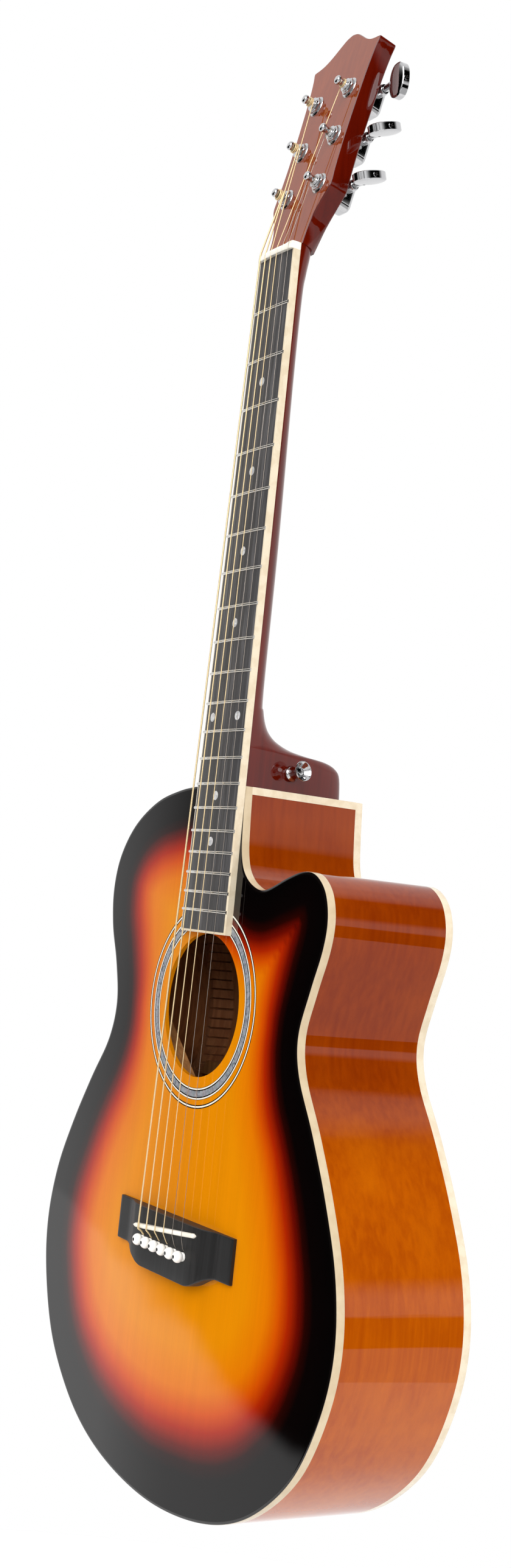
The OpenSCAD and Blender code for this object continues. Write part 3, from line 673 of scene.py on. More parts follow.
def plate(rim, holes, depth_front, depth_back, step):
    """A flat plate with holes: its points, and the faces in front, behind and at the edge."""
    flat, edges = [], []
    for loop in [rim, *holes]:
        start = len(flat)
        flat += loop
        edges += [(start + k, start + (k + 1) % len(loop)) for k in range(len(loop))]
    xs, zs = [p.x for p in rim], [p.y for p in rim]
    row = min(zs) + step / 2
    while row < max(zs):
        x = min(xs) + step / 2
        while x < max(xs):
            clear = min(abs((Vector((x, row)) - HOLE_CENTRE).length - HOLE_R),
                        edge_distance(x, row) - BINDING_T)
            if clear > step * 0.5 and inside(OUTLINE, x, row):
                flat.append(Vector((x, row)))
            x += step
        row += step
    verts, _, tris, *_ = geometry.delaunay_2d_cdt(flat, edges, [], 0, 1e-6)
    kept = []
    for tri in tris:
        c = sum((verts[k] for k in tri), Vector((0, 0))) / 3
        if inside(rim, c.x, c.y) and not any(inside(h, c.x, c.y) for h in holes):
            kept.append(tuple(tri))
    n = len(verts)
    points = ([(v.x, depth_front(-v.y - HANG), v.y) for v in verts]
              + [(v.x, depth_back(-v.y - HANG), v.y) for v in verts])
    under = [tuple(n + k for k in tri[::-1]) for tri in kept]
    sides = {(tri[k], tri[(k + 1) % 3]) for tri in kept for k in range(3)}
    edge = [(b, a, n + a, n + b) for a, b in sorted(sides) if (b, a) not in sides]
    return points, kept, under, edge


def make_soundboard():
    rim = inset(OUTLINE, BINDING_T)
    hole = circle_of(HOLE_R, zu(HOLE_U), 120)
    points, face, inner, edge = plate(rim, [hole], front(0), front(PLATE), 5.0)
    burst = [edge_distance(p[0], p[2]) / table_at(BURST_WIDTH, -p[2] - HANG) for p in points]
    shape = Shape().add(points, face + edge).add([], inner, 1, start=0)
    top = shape.piece("soundboard_sunburst", TOP, INNER, fields={"burst": burst}, recalc=False)
    settle(top, "sunburst_top", "soundboard")


def make_back():
    rim = inset(OUTLINE, BINDING_T)
    points, inner, face, edge = plate(rim, [], rear(PLATE), rear(0), 30.0)
    shape = Shape().add(points, face + edge).add([], inner, 1, start=0)
    back = shape.piece("back_plate_lacquered", BACK, INNER_WALL, recalc=False)
    settle(back, "back_wood", "back_plate")


def band(loops, section):
    """A closed band round the body: section is (inset, depth at u) pairs."""
    rings = [[(p.x, depth(-p.y - HANG), p.y) for p in loops[d]] for d, depth in section]
    points, faces = loft([*rings, rings[0]], ends=False)
    n = len(rings[0])
    last = len(rings) * n
    faces = [tuple(k - last if k >= last else k for k in face) for face in faces]
    return points[:last], faces


def make_rim():
    """Sides, bindings and linings, swept round the outline."""
    loops = {d: inset(OUTLINE, d) for d in (0, 0.25, 0.9, BINDING_T, WALL_IN, WEB_IN, KERF_IN)}
    for name, coat, depth, node in (("front_binding", FRONT_BINDING, front, "binding_front"),
                                    ("back_binding", CREAM, rear, "binding_back")):
        section = [(0, depth(BINDING_H)), (0, depth(0.9)), (0.25, depth(0.25)), (0.9, depth(0.02)),
                   (BINDING_T, depth(0.02)), (BINDING_T, depth(BINDING_H))]
        settle(Shape().add(*band(loops, section)).piece(name, coat), "cream_binding", node)
    wall = [(0, front(BINDING_H)), (0, rear(BINDING_H)), (BINDING_T, rear(BINDING_H)),
            (BINDING_T, rear(PLATE)), (WALL_IN, rear(PLATE)), (WALL_IN, front(PLATE)),
            (BINDING_T, front(PLATE)), (BINDING_T, front(BINDING_H))]
    points, faces = band(loops, wall)
    n = len(OUTLINE)
    for node in ("side_bass", "side_treble"):
        kept = [f for f in faces if (sum(points[k][0] for k in f) > 0) == (node == "side_treble")]
        inner = {f for f in kept if all(k // n in (4, 5) for k in f)}
        shape = Shape().add(points, [f for f in kept if f not in inner])
        shape.add(points, [f for f in kept if f in inner], 1)
        settle(shape.piece(node + "_lacquered", SIDE, INNER_WALL), "side_wood", node)
    start = min(range(n), key=lambda k: (OUTLINE[k] - Vector((20, zu(BODY_START)))).length)
    strip = [(start + k) % n for k in range(-400, 400)]
    strip = [k for k in strip if 20 <= OUTLINE[k].x <= 40 and OUTLINE[k].y > zu(BODY_START + 5)]
    strip = sorted(set(strip), key=lambda k: OUTLINE[k].x)
    rings = []
    for k in strip:
        p, q = OUTLINE[k], loops[BINDING_T][k]
        out = (p - q).normalized() * 0.12 + p
        u = -p.y - HANG
        rings.append([(out.x, BINDING_H - 0.2, out.y), (out.x, back_y(u) - BINDING_H + 0.2, out.y),
                      (q.x, back_y(u) - BINDING_H + 0.2, q.y), (q.x, BINDING_H - 0.2, q.y)])
    settle(Shape().add(*loft(rings)).piece("corner_binding", CREAM), "cream_binding",
           "binding_corner")
    for name, depth, tall in (("front_lining_web", front, 17.0), ("back_lining_web", rear, 21.0)):
        web = [(WALL_IN, depth(PLATE)), (WALL_IN, depth(tall)), (WEB_IN, depth(tall)),
               (WEB_IN, depth(PLATE))]
        settle(Shape().add(*band(loops, web)).piece(name, KERF), "inner_wood")
    return loops


# ---- Geometry trees -------------------------------------------------------------------

class Recipe(Tree):
    """A geometry tree with named sizes. The group's inputs are read as fields."""

    def __init__(self, name, base=False, **sizes):
        self.group = bpy.data.node_groups.new(name, "GeometryNodeTree")
        face = self.group.interface
        face.new_socket(name="Result", in_out="OUTPUT", socket_type="NodeSocketGeometry")
        if base:
            face.new_socket(name="Base", in_out="INPUT", socket_type="NodeSocketGeometry")
        kinds = {float: "NodeSocketFloat", int: "NodeSocketInt", bpy.types.Material:
                 "NodeSocketMaterial"}
        self.names, self.sizes = {}, sizes
        for key, value in sizes.items():
            socket = face.new_socket(name=key, in_out="INPUT", socket_type=kinds[type(value)])
            self.names[key] = socket.identifier
        super().__init__(self.group.nodes, self.group.links)
        inputs = self.nodes.new("NodeGroupInput")
        self.given = {s.name: Field(self, s) for s in inputs.outputs if s.name}

    def finish(self, name, result, body_mesh=None):
        """Realizes the result, coats it and returns it as a plain mesh object."""
        real = self.node("GeometryNodeRealizeInstances", {}, {0: result})
        coated = self.node("GeometryNodeSetMaterial", {}, {0: real, 2: self.given["coat"]})
        self.links.new(coated.socket, self.nodes.new("NodeGroupOutput").inputs[0])
        holder = in_scene(name, body_mesh or bpy.data.meshes.new(name))
        maker = holder.modifiers.new("maker", "NODES")
        maker.node_group = self.group
        for key, value in self.sizes.items():
            maker[self.names[key]] = value
        graph = bpy.context.evaluated_depsgraph_get()
        made = bpy.data.meshes.new_from_object(holder.evaluated_get(graph))
        holder.modifiers.remove(maker)
        holder.data = made
        return holder


def wire_mesh(name, path):
    """An open line as a mesh of edges, in metres."""
    mesh = bpy.data.meshes.new(name)
    edges = [(k, k + 1) for k in range(len(path) - 1)]
    mesh.from_pydata([Vector(p) * MM for p in path], edges, [])
    return mesh


def make_kerfs(loops):
    """Rows of kerfed lining blocks, glued side by side with saw cuts between them."""
    for name, depth, tall, node in (("front_lining", front, 14.0, "linings"),
                                    ("back_lining", rear, 18.0, None)):
        r = Recipe(name + "_kerfs", True, coat=KERF, pitch=7.0 * MM, cut=1.2 * MM,
                   width=4.6 * MM, height=tall * MM)
        line = [((a.x + b.x) / 2, depth(PLATE + tall / 2)(-b.y - HANG), (a.y + b.y) / 2)
                for a, b in zip(loops[WEB_IN], loops[KERF_IN])]
        curve = r.node("GeometryNodeMeshToCurve", {}, {0: r.given["Base"]})
        points = r.node("GeometryNodeCurveToPoints", {"mode": "LENGTH"},
                        {0: curve, 2: r.given["pitch"]})
        tangent = Field(r, points.socket.node.outputs["Tangent"])
        turn = r.node("FunctionNodeAlignRotationToVector", {"axis": "X", "pivot_axis": "Y"},
                      {2: tangent})
        size = r.node("ShaderNodeCombineXYZ", {}, {0: r.given["pitch"] - r.given["cut"],
                                                   1: r.given["height"], 2: r.given["width"]})
        block = r.node("GeometryNodeMeshCube", {}, {0: size})
        blocks = r.node("GeometryNodeInstanceOnPoints", {}, {0: points, 2: block, 5: turn})
        piece = finish_mesh(r.finish(name + "_kerfed", blocks, wire_mesh(name, line)), 30)
        settle(piece, "inner_wood", *([node] if node else []))


def make_frets():
    """Fret wires by the rule of equal temperament, crowned like the board."""
    r = Recipe("fret_wires", coat=NICKEL, count=FRETS, scale=SCALE_LENGTH * MM, bead=1.1 * MM,
               nut_half=NUT_HALF * MM, end_half=BOARD_END_HALF * MM, board_end=BOARD_END * MM,
               crown=BOARD_R * MM, top=(BOARD_T + BOARD_CROWN - 0.1) * MM, hang=HANG * MM)
    g = r.given
    stations = r.node("GeometryNodeMeshLine", {}, {0: g["count"], 2: (0, 0, 1), 3: (0, 0, 1)})
    wire = r.node("GeometryNodeCurvePrimitiveLine", {}, {0: (-1, 0, 0), 1: (1, 0, 0)})
    wire = r.node("GeometryNodeResampleCurve", {}, {0: wire, 2: 31})
    wires = r.node("GeometryNodeInstanceOnPoints", {}, {0: stations, 2: wire})
    wires = r.node("GeometryNodeRealizeInstances", {}, {0: wires})
    x, _, n = r.split(r.node("GeometryNodeInputPosition"))
    u = g["scale"] * (1 - 2 ** (n / -12))
    half = g["nut_half"] + (g["end_half"] - g["nut_half"]) * u / g["board_end"] - 0.35 * MM
    across = x * half
    rise = across * across / (g["crown"] * 2) - g["top"]
    spot = r.node("ShaderNodeCombineXYZ", {}, {0: across, 1: rise, 2: 0 - g["hang"] - u})
    placed = r.node("GeometryNodeSetPosition", {}, {0: wires, 2: spot})
    end = r.maths("ABSOLUTE", x)
    taper = 1 - r.node("ShaderNodeMapRange", {}, {0: end, 1: 0.95, 2: 1.0, 3: 0.0, 4: 0.55})
    bead = r.node("GeometryNodeCurvePrimitiveCircle", {}, {0: 14, 4: g["bead"]})
    made = r.node("GeometryNodeCurveToMesh", {}, {0: placed, 1: bead, 2: taper, 3: True})
    piece = r.finish("fret_wires", made)
    piece.data.transform(in_metres(NECK))
    settle(finish_mesh(piece, 50), "fret_nickel", "frets")


def in_metres(move):
    """A placement in mm as one in metres."""
    out = move.copy()
    out.translation *= MM
    return out


def make_string_tube(name, path, r, pitch, coat):
    """A round wire along a path; a wound one swells at each turn of its wrap."""
    recipe = Recipe(name + "_wire", True, coat=coat, gauge=r * MM, pitch=pitch * MM,
                    step=(pitch / 2 if pitch else 2.5) * MM)
    g = recipe.given
    curve = recipe.node("GeometryNodeMeshToCurve", {}, {0: g["Base"]})
    if pitch:
        curve = recipe.node("GeometryNodeResampleCurve", {"mode": "LENGTH"},
                            {0: curve, 3: g["step"]})
    index = recipe.node("GeometryNodeSplineParameter", {}, {}, "Index")
    groove = recipe.maths("FLOORED_MODULO", index, 2.0)
    round_wire = recipe.node("GeometryNodeCurvePrimitiveCircle", {}, {0: 8, 4: g["gauge"]})
    swell = 1 - groove * (0.13 if pitch else 0.0)
    made = recipe.node("GeometryNodeCurveToMesh", {}, {0: curve, 1: round_wire, 2: swell, 3: True})
    return finish_mesh(recipe.finish(name, made, wire_mesh(name, path)), 80)


# ---- Soundhole ring and top furniture -------------------------------------------------

def make_rosette():
    shape = Shape()
    for inner, outer in ((54.6, 62.4), (65.7, 68.1)):
        points, faces = ring_of([(inner, 0.9), (inner, -0.05), (outer, -0.05), (outer, 0.9)], 200)
        shape.add([(x, h, y + zu(HOLE_U)) for x, y, h in points], faces)
    settle(shape.piece("rosette_rings", ROSETTE), "pearl_rosette", "rosette")


# Height of the bridge at a distance from its middle.
BRIDGE_PROFILE = [(30, BRIDGE_H), (36, 8.8), (44, 8.0), (49, 6.4), (53, 4.6), (58, 3.4), (74.6, 2.6)]


def bridge_rear(x):
    """u of the bridge's rear edge: straight wings and a belly behind the pins."""
    t = min(max((60 - abs(x)) / 32, 0), 1)
    return BRIDGE_REAR + (BRIDGE_BELLY - BRIDGE_REAR) * (1 - math.cos(math.pi * t)) / 2


def make_bridge():
    """The bridge as a carved slab with eased edges."""
    ease = [(0, 0.0, 0.0), (1, 0.0, 0.82), (1, 0.12, 0.93), (1, 0.5, 0.985), (1, 1.2, 1.0)]
    rings = []
    for x in evenly(-BRIDGE_HALF, BRIDGE_HALF, 96):
        u0, u1, h = BRIDGE_FRONT, bridge_rear(x), table_at(BRIDGE_PROFILE, abs(x))
        side = min(1.0, (BRIDGE_HALF - abs(x)) / 1.4)
        h *= 0.86 + 0.14 * math.sqrt(1 - (1 - side) ** 2)
        near = [(u0 + d, h * f if k else 0.0) for k, d, f in ease]
        inner = [(u0 + 1.2 + (u1 - u0 - 2.4) * k / 6, h) for k in range(1, 6)]
        far = [(u1 - d, h * f if k else 0.0) for k, d, f in ease[::-1]]
        rings.append([(x, -q, zu(u)) for u, q in [*near, *inner, *far]])
    settle(Shape().add(*loft(rings)).piece("bridge_carved", BLACK_BRIDGE, sharp=40),
           "bridge_wood", "bridge")


def saddle_top(x):
    """Height of the saddle's crown over the soundboard."""
    return 12.8 - 1.2 * x / 54 - (x / SADDLE_HALF) ** 4 * 1.6


def make_saddle():
    turn = Matrix.Translation((1, 0, zu(SADDLE_U))) @ Matrix.Rotation(-SADDLE_SLANT, 4, "Y")
    rings = []
    for x in evenly(-SADDLE_HALF, SADDLE_HALF, 40):
        reach = min(1.0, (SADDLE_HALF - abs(x)) / 1.5)
        w = 1.5 * math.sqrt(max(0.02, 1 - (1 - reach) ** 2))
        top = saddle_top(x)
        rings.append([(x, -4, -w), (x, -(top - 1.2), -w), (x, -(top - 0.35), -w * 0.72),
                      (x, -top, 0), (x, -(top - 0.35), w * 0.72), (x, -(top - 1.2), w),
                      (x, -4, w)])
    settle(Shape().add(*loft(rings), move=turn).piece("saddle_bone", BONE, sharp=60), "bone",
           "saddle")


def string_x(i, step):
    """Place of string i across the guitar, for a given spacing."""
    return (i - 3.5) * step


def make_pins():
    """Ball-headed bridge pins, each with a black dot in its crown."""
    head = [(3.9 * math.cos(a), 4.2 + 3.5 * math.sin(a))
            for a in (math.radians(-50 + 10 * k) for k in range(13))]
    profile = [(0, -22), (1.9, -22), (2.45, -14), (2.45, 0), (2.9, 0.2), (2.9, 1.2), *head,
               (1.25, 4.2 + 3.5 * 0.95)]
    dot = [(1.25, 4.2 + 3.5 * 0.95), (1.1, 7.62), (0, 7.7)]
    pins = Shape()
    for i in range(1, 7):
        move = (Matrix.Translation((string_x(i, PIN_STEP), -BRIDGE_H, zu(PIN_U)))
                @ Matrix.Rotation(math.radians(90), 4, "X"))
        pins.add(*turned(profile, 28), move=move)
        pins.add(*turned(dot, 28), coat=1, move=move)
    settle(pins.piece("bridge_pins_turned", PIN_WHITE, PIN_DOT, sharp=50), "white_pins",
           "bridge_pins")


# ---- Neck -----------------------------------------------------------------------------

# Sections of the neck and heel: u, front y, half width, depth, squareness, taper.
NECK_SECTIONS = [
    (-26, 6, 22, 11, 2, 0), (-12, 3, 21.8, 12, 2.6, 0), (-5, 0.4, 21.7, 13.6, 2.9, 0),
    (2, 0, 21.6, 13.9, 2.7, 0), (14, 0, 21.7, 13, 2.3, 0), (30, 0, 21.9, 12.4, 2.05, 0),
    (90, 0, 22.7, 12.8, 2, 0), (200, 0, 24.4, 15.4, 2, 0),
    (296, 0, 26, 15.8, 2, 0), (310, 0, 26.2, 18, 2.1, 0.04), (320, 0, 26.4, 22.5, 2.2, 0.1),
    (326, 0, 26.4, 28.5, 2.4, 0.16), (330, 0, 26.4, 36, 2.7, 0.2), (333, 0, 26.4, 46, 3.1, 0.24),
    (335, 0, 26.4, 60, 3.6, 0.27), (336.5, 0, 26.4, 74, 4, 0.3), (340, 0, 26.4, 82, 4.6, 0.32),
    (346, 0, 26.4, 85.4, 5.2, 0.33), (362, 0, 26.4, 87, 5.6, 0.34)]

# Headstock outline, treble half: x and the distance up from the nut's back edge.
HEAD_POINTS = [
    (22.2, 0), (22.4, 8), (23.6, 17), (26.8, 25), (31.4, 33), (34.6, 38.5), (35.6, 42),
    (35.6, 46), (34.6, 56), (33.8, 75), (34.2, 100), (35.6, 127), (37.6, 143),
    (39.6, 151), (38.2, 152.6), (33, 153.2), (27, 154.6), (20, 158), (12, 163.4),
    (6, 167), (0, 168.4)]


def neck_ring(row):
    """Points round one section, from treble to bass by way of the back of the neck."""
    steps = 40
    u, y0, half, depth, square, taper = row
    ring = []
    for k in range(steps + 1):
        a = math.pi * k / steps
        c, n = math.cos(a), 2 / square
        y = depth * max(math.sin(a), 0) ** n
        x = half * math.copysign(abs(c) ** n, c) * (1 - taper * y / depth)
        ring.append((x, y0 + y, zu(u)))
    return ring


def make_neck():
    """The neck and heel through their sections, and the headstock's bevelled slab."""
    shape = Shape().add(*loft([neck_ring(q) for q in smooth_path(NECK_SECTIONS, 5)]), move=NECK)
    half = smooth_path([(x, s, 0) for x, s in HEAD_POINTS], 4)
    outline = [Vector((p.x, p.y)) for p in half] + [Vector((-p.x, p.y)) for p in half[-2::-1]]
    rings = []
    front_edge = [(0.55, 0), (0.2, 0.4), (0, 0.9)]
    for step in [*front_edge, 0, 20, 40, 90]:
        ring = []
        for k, p in enumerate(outline):
            a, b = outline[k - 1], outline[(k + 1) % len(outline)]
            way = (b - a).normalized()
            inward = Vector((-way.y, way.x))
            if p.y < 30:
                inward = Vector((-math.copysign(1, p.x), 0))
            if step in front_edge:
                d, y = step
            else:
                r, turn = 0.9 + 9 * max(0.0, 1 - p.y / 30) ** 2, math.radians(step)
                d, y = r * min(0.6, 1 - math.cos(turn)), HEAD_T - r + r * math.sin(turn)
            q = p + inward * d
            ring.append((q.x, y, q.y))
        rings.append(ring)
    points, faces = loft(rings)
    shape.add(points, faces[:-2] + faces[-1:], move=HEAD)
    shape.add(points, [faces[-2]], coat=1, move=HEAD)
    settle(shape.piece("neck_carved", NECK_WOOD, HEAD_FACE, sharp=38), "neck_wood", "neck")


def board_half(u):
    """Half width of the fingerboard at u."""
    return NUT_HALF + (BOARD_END_HALF - NUT_HALF) * u / BOARD_END


def board_top(x):
    """Height of the fingerboard's crown at x."""
    return BOARD_T + BOARD_CROWN - (BOARD_R - math.sqrt(BOARD_R**2 - x * x))


def board_under(u):
    """Depth of the fingerboard's underside at u: past the body's edge it rests on the top."""
    return max(0, u - BODY_START) * math.tan(NECK_ANGLE)


def make_fingerboard():
    """The crowned board, and the cream edging round its two sides and end."""
    edge = 1.5
    rings = []
    for u in evenly(0, BOARD_END - edge, 23):
        half = board_half(u) - edge
        ring = [(x, -board_top(x), zu(u)) for x in evenly(-half, half, 24)]
        rings.append([(-half, board_under(u), zu(u)), *ring, (half, board_under(u), zu(u))])
    settle(Shape().add(*loft(rings), move=NECK).piece("fingerboard_crowned", BOARD, sharp=40),
           "fingerboard_wood", "fingerboard")
    stations = [(-1, u) for u in evenly(0, BOARD_END, 24)]
    stations += [(side, BOARD_END) for side in evenly(-1, 1, 20)[1:-1]]
    stations += [(1, u) for u in evenly(BOARD_END, 0, 24)]
    rings = []
    for side, u in stations:
        end = u == BOARD_END
        outer = side * board_half(u)
        inner = side * (board_half(u) - edge)
        back = u - edge if end else u
        top, low = board_top(inner), board_under(u)
        rings.append([(inner, low, zu(back)), (inner, -top, zu(back)),
                      (outer * 0.7 + inner * 0.3, -board_top(outer), zu(u * 0.7 + back * 0.3)),
                      (outer, -board_top(outer) + 0.35, zu(u)), (outer, low, zu(u))])
    settle(Shape().add(*loft(rings), move=NECK).piece("fingerboard_edging", CREAM, sharp=45),
           "cream_binding", "fingerboard_binding")


def fret_u(n):
    """u of fret n, by the rule of equal temperament."""
    return SCALE_LENGTH * (1 - 2 ** (-n / 12))


def make_dots():
    dots = Shape()
    for n, x in ((3, 0), (5, 0), (7, 0), (9, 0), (12, -16), (12, 16), (15, 0), (17, 0)):
        u = (fret_u(n) + fret_u(n - 1)) / 2
        disc, faces = turned([(0, 0), (1.6, 0), (2.9, 0), (3.1, -0.06), (3.1, -1), (0, -1)], 28)
        dots.add([(x + p[0], -board_top(x + p[0]) - p[2] - 0.05, zu(u) + p[1]) for p in disc],
                 faces, move=NECK)
    settle(dots.piece("pearl_dots_inlaid", DOT, sharp=50), "pearl_dots", "fret_markers")


def make_nut():
    """Bone nut with a rounded crown and a slot for each string."""
    top = BOARD_T + BOARD_CROWN + 2.7
    slots = [(string_x(i, NUT_STEP), STRING_R[i - 1]) for i in range(1, 7)]
    xs = {side * (NUT_HALF - d) for side in (-1, 1) for d in (0, 0.3, 1)}
    for x, r in slots:
        xs |= {x + r * k for k in (-1.25, -1, -0.5, 0, 0.5, 1, 1.25)}
    rings = []
    for x in sorted(xs):
        h = top - x * x / 320 - max(0.0, abs(x) - NUT_HALF + 1) ** 2 * 0.8
        for s, r in slots:
            if abs(x - s) <= r + 1e-6:
                h = min(h, BOARD_T + NUT_LIFT - math.sqrt(max(0, r * r - (x - s) ** 2)))
        rings.append([(x, 0, zu(-NUT_WIDE)), (x, 1.6 - h if h > 7.9 else 0.3 - h, zu(-NUT_WIDE)),
                      (x, -(h - 0.35), zu(-4.1)), (x, -h, zu(-2.8)), (x, -h, zu(-0.5)),
                      (x, -h + 0.25, zu(-0.05)), (x, -h + 0.6, zu(0)), (x, 0, zu(0))])
    settle(Shape().add(*loft(rings), move=NECK).piece("nut_bone", BONE, sharp=50), "bone", "nut")


# ---- Tuners ---------------------------------------------------------------------------

def along_y(made):
    """A turned shape, made round z, laid round y with its height out of the face."""
    points, faces = made
    return [(x, -h, y) for x, y, h in points], faces


def along_x(made):
    """A turned shape laid round x, with its height outward."""
    points, faces = made
    return [(h, x, y) for x, y, h in points], faces


def rounded_box(x0, x1, y0, y1, z0, z1, r, steps):
    """A box whose edges across x and z are rounded, and whose y1 face is pillowed."""
    rings = []
    levels = [(y0, 0.0), (y1 - r, 0.0)]
    levels += [(y1 - r + r * math.sin(a), r * (1 - math.cos(a)))
               for a in (math.pi / 2 * k / steps for k in range(1, steps + 1))]
    corner = 4.5
    for y, d in levels:
        ring = []
        for cx, cz, start in ((x1, z1, 0), (x0, z1, 90), (x0, z0, 180), (x1, z0, 270)):
            sx, sz = (1 if cx == x1 else -1), (1 if cz == z1 else -1)
            for k in range(7):
                a = math.radians(start + 15 * k)
                ring.append((cx - sx * corner + (corner - d) * math.cos(a), y,
                             cz - sz * corner + (corner - d) * math.sin(a)))
        rings.append(ring)
    return loft(rings)


def make_housings():
    shape = Shape()
    for i in range(1, 7):
        move = tuner_frame(i)
        shape.add(*rounded_box(-7.5, 7.5, HEAD_T, HEAD_T + 11, -10.8, 10.8, 2.6, 4), move=move)
        shape.add(*rounded_box(-7.4, -0.6, HEAD_T, HEAD_T + 2, -17, -6, 0.5, 2), move=move)
        collar = [(0, 4), (4, 4), (4, 10.5), (3.7, 11.8), (3.3, 12.6), (1.6, 12.6), (0, 12.6)]
        shape.add(*along_x(turned(collar, 32)), move=move @ SHAFT)
    settle(shape.piece("tuner_cases", CHROME, sharp=40), "chrome", "tuner_housings")


def make_bushings():
    """Six-sided flared nuts on round washers."""
    nuts, washers = Shape(), Shape()
    for i in range(1, 7):
        move = tuner_frame(i)
        sleeve = [(3.05, -10), (4.5, -10), (4.5, 0.9)]
        hexagon = [(5.6, 0.9), (6.0, 1.2), (6.0, 2.3), (5.5, 2.9)]
        flare = [(4.3, 3.0), (4.2, 3.2), (4.5, 3.6), (4.9, 3.95), (4.8, 4.1), (3.9, 4.1),
                 (3.05, 3.9)]
        points, faces = ring_of([*sleeve, *hexagon, *flare], 48)
        shaped = []
        for x, y, h in points:
            if 5.4 < math.hypot(x, y) and 0.8 < h < 2.95:
                a = math.degrees(math.atan2(y, x)) % 60 - 30
                flat = min(1.0, 0.89 / math.cos(math.radians(a)))
                x, y = x * flat, y * flat
            shaped.append((x, y, h))
        nuts.add(*along_y((shaped, faces)), move=move)
        ring = [(4.55, 0), (7.3, 0), (7.3, 0.35), (7.0, 0.7), (6.5, 0.88), (4.55, 0.88)]
        washers.add(*along_y(ring_of(ring, 48)), move=move)
    settle(nuts.piece("tuner_flared_nuts", CHROME, sharp=28), "chrome", "tuner_bushings")
    settle(washers.piece("tuner_washers_domed", CHROME, sharp=40), "chrome", "tuner_washers")


POST_PROFILE = [(0, -22.4), (2, -22.4), (2, -17.5), (3, -17.5), (3, 4.0), (2.85, 4.35),
                (2.4, 4.8), (POST_WAIST, 5.2), (POST_WAIST, 8.2), (2.42, 8.7), (2.75, 9.1), (3.0, 9.6),
                (3.1, 10.3), (3.0, 11.0), (2.7, 11.6), (2.1, 12.0), (1.1, 12.18), (0, 12.2)]


def button_points():
    """A flat oval button: a band round its rim and faintly swollen faces."""
    rings = []
    half = [(1, 0.3), (0.97, 0.6), (0.92, 0.86), (0.86, 0.95), (0.72, 1)]
    for y, k in [(-y, k) for y, k in half] + half[::-1]:
        ring = []
        for step in range(48):
            a = math.tau * step / 48
            reach = math.copysign(abs(math.cos(a)) ** 0.8, math.cos(a)) * k
            tall = math.copysign(abs(math.sin(a)) ** 0.9, math.sin(a)) * k
            ring.append((BUTTON_NEAR + BUTTON_L / 2 * (1 + reach), BUTTON_T / 2 * y,
                         BUTTON_H / 2 * tall))
        rings.append(ring)
    return loft(rings)


def make_tuner_movers():
    for i in range(1, 7):
        move = tuner_frame(i)
        post = Shape().add(*along_y(turned(POST_PROFILE, 32)), move=move)
        settle(post.piece(f"tuner_post_{i}_turned", CHROME, sharp=35), "chrome",
               f"tuner_post_{i}", body=f"post_{i}")
        shaft = move @ SHAFT
        turn = shaft @ Matrix.Rotation(math.radians(BUTTON_TURN[i - 1]), 4, "X")
        button = Shape().add(*button_points(), move=turn)
        neck = [(1.5, 13), (2.4, 13), (2.5, 15), (2.7, 19), (3.3, BUTTON_NEAR + 1.4), (1.5, 22.4)]
        button.add(*along_x(ring_of(neck, 32)), move=turn)
        settle(button.piece(f"tuner_button_{i}_oval", CHROME, sharp=35), "chrome",
               f"tuner_button_{i}", body=f"knob_{i}")
        tip = BUTTON_NEAR + BUTTON_L
        head = [(0, tip - 0.6), (2.0, tip - 0.6), (2.0, tip - 0.05), (1.7, tip + 0.2),
                (1.0, tip + 0.29), (0, tip + 0.3)]
        screw = Shape().add(*along_x(turned(head, 24)), move=shaft)
        # Painted shade: a dark cross in the screw head stands for its shaded slot.
        for w, h in ((2.6, 0.5), (0.5, 2.6)):
            screw.add(*box((tip + 0.1, tip + 0.3), (-w / 2, w / 2), (-h / 2, h / 2)), coat=1,
                      move=shaft)
        settle(screw.piece(f"button_screw_{i}", CHROME, PAINTED_SLOT_SHADE, sharp=40), "chrome",
               body=f"knob_{i}")


# ---- Strap button ---------------------------------------------------------------------

def make_strap_button():
    """Flared button with a hollow head and its screw."""
    place = (Matrix.Translation((22.6, 37, zu(349))) @ Matrix.Rotation(math.radians(6), 4, "Z")
             @ Matrix.Rotation(math.radians(-10), 4, "Y") @ Matrix.Rotation(math.pi / 2, 4, "Y"))
    profile = [(0, 0.4), (5.2, 0.4), (5.4, 0.8), (5.4, 1.6), (4.9, 2.2), (4.4, 3), (4.15, 4.5),
               (4.1, 6), (4.2, 7.5), (4.5, 9), (5.2, 10.4), (6.2, 11.6), (6.75, 12.5),
               (6.8, 12.9), (6.65, 13.3), (6.3, 13.4), (5.9, 13.1), (4.6, 11.4), (3.4, 10.1),
               (2.7, 9.5), (0, 9.4)]
    shape = Shape().add(*turned(profile, 48), move=place)
    screw = [(0, 9.3), (2.5, 9.3), (2.5, 9.9), (2.2, 10.3), (1.2, 10.5), (0, 10.5)]
    shape.add(*turned(screw, 24), move=place)
    # Painted shade: a dark cross in the screw head stands for its shaded slot.
    for w, h in ((2.8, 0.55), (0.55, 2.8)):
        shape.add(*box((-w / 2, w / 2), (-h / 2, h / 2), (10.2, 10.54)), coat=1, move=place)
    settle(shape.piece("strap_button_flared", CHROME, PAINTED_SLOT_SHADE, sharp=40), "chrome",
           "strap_button")


# ---- Strings --------------------------------------------------------------------------

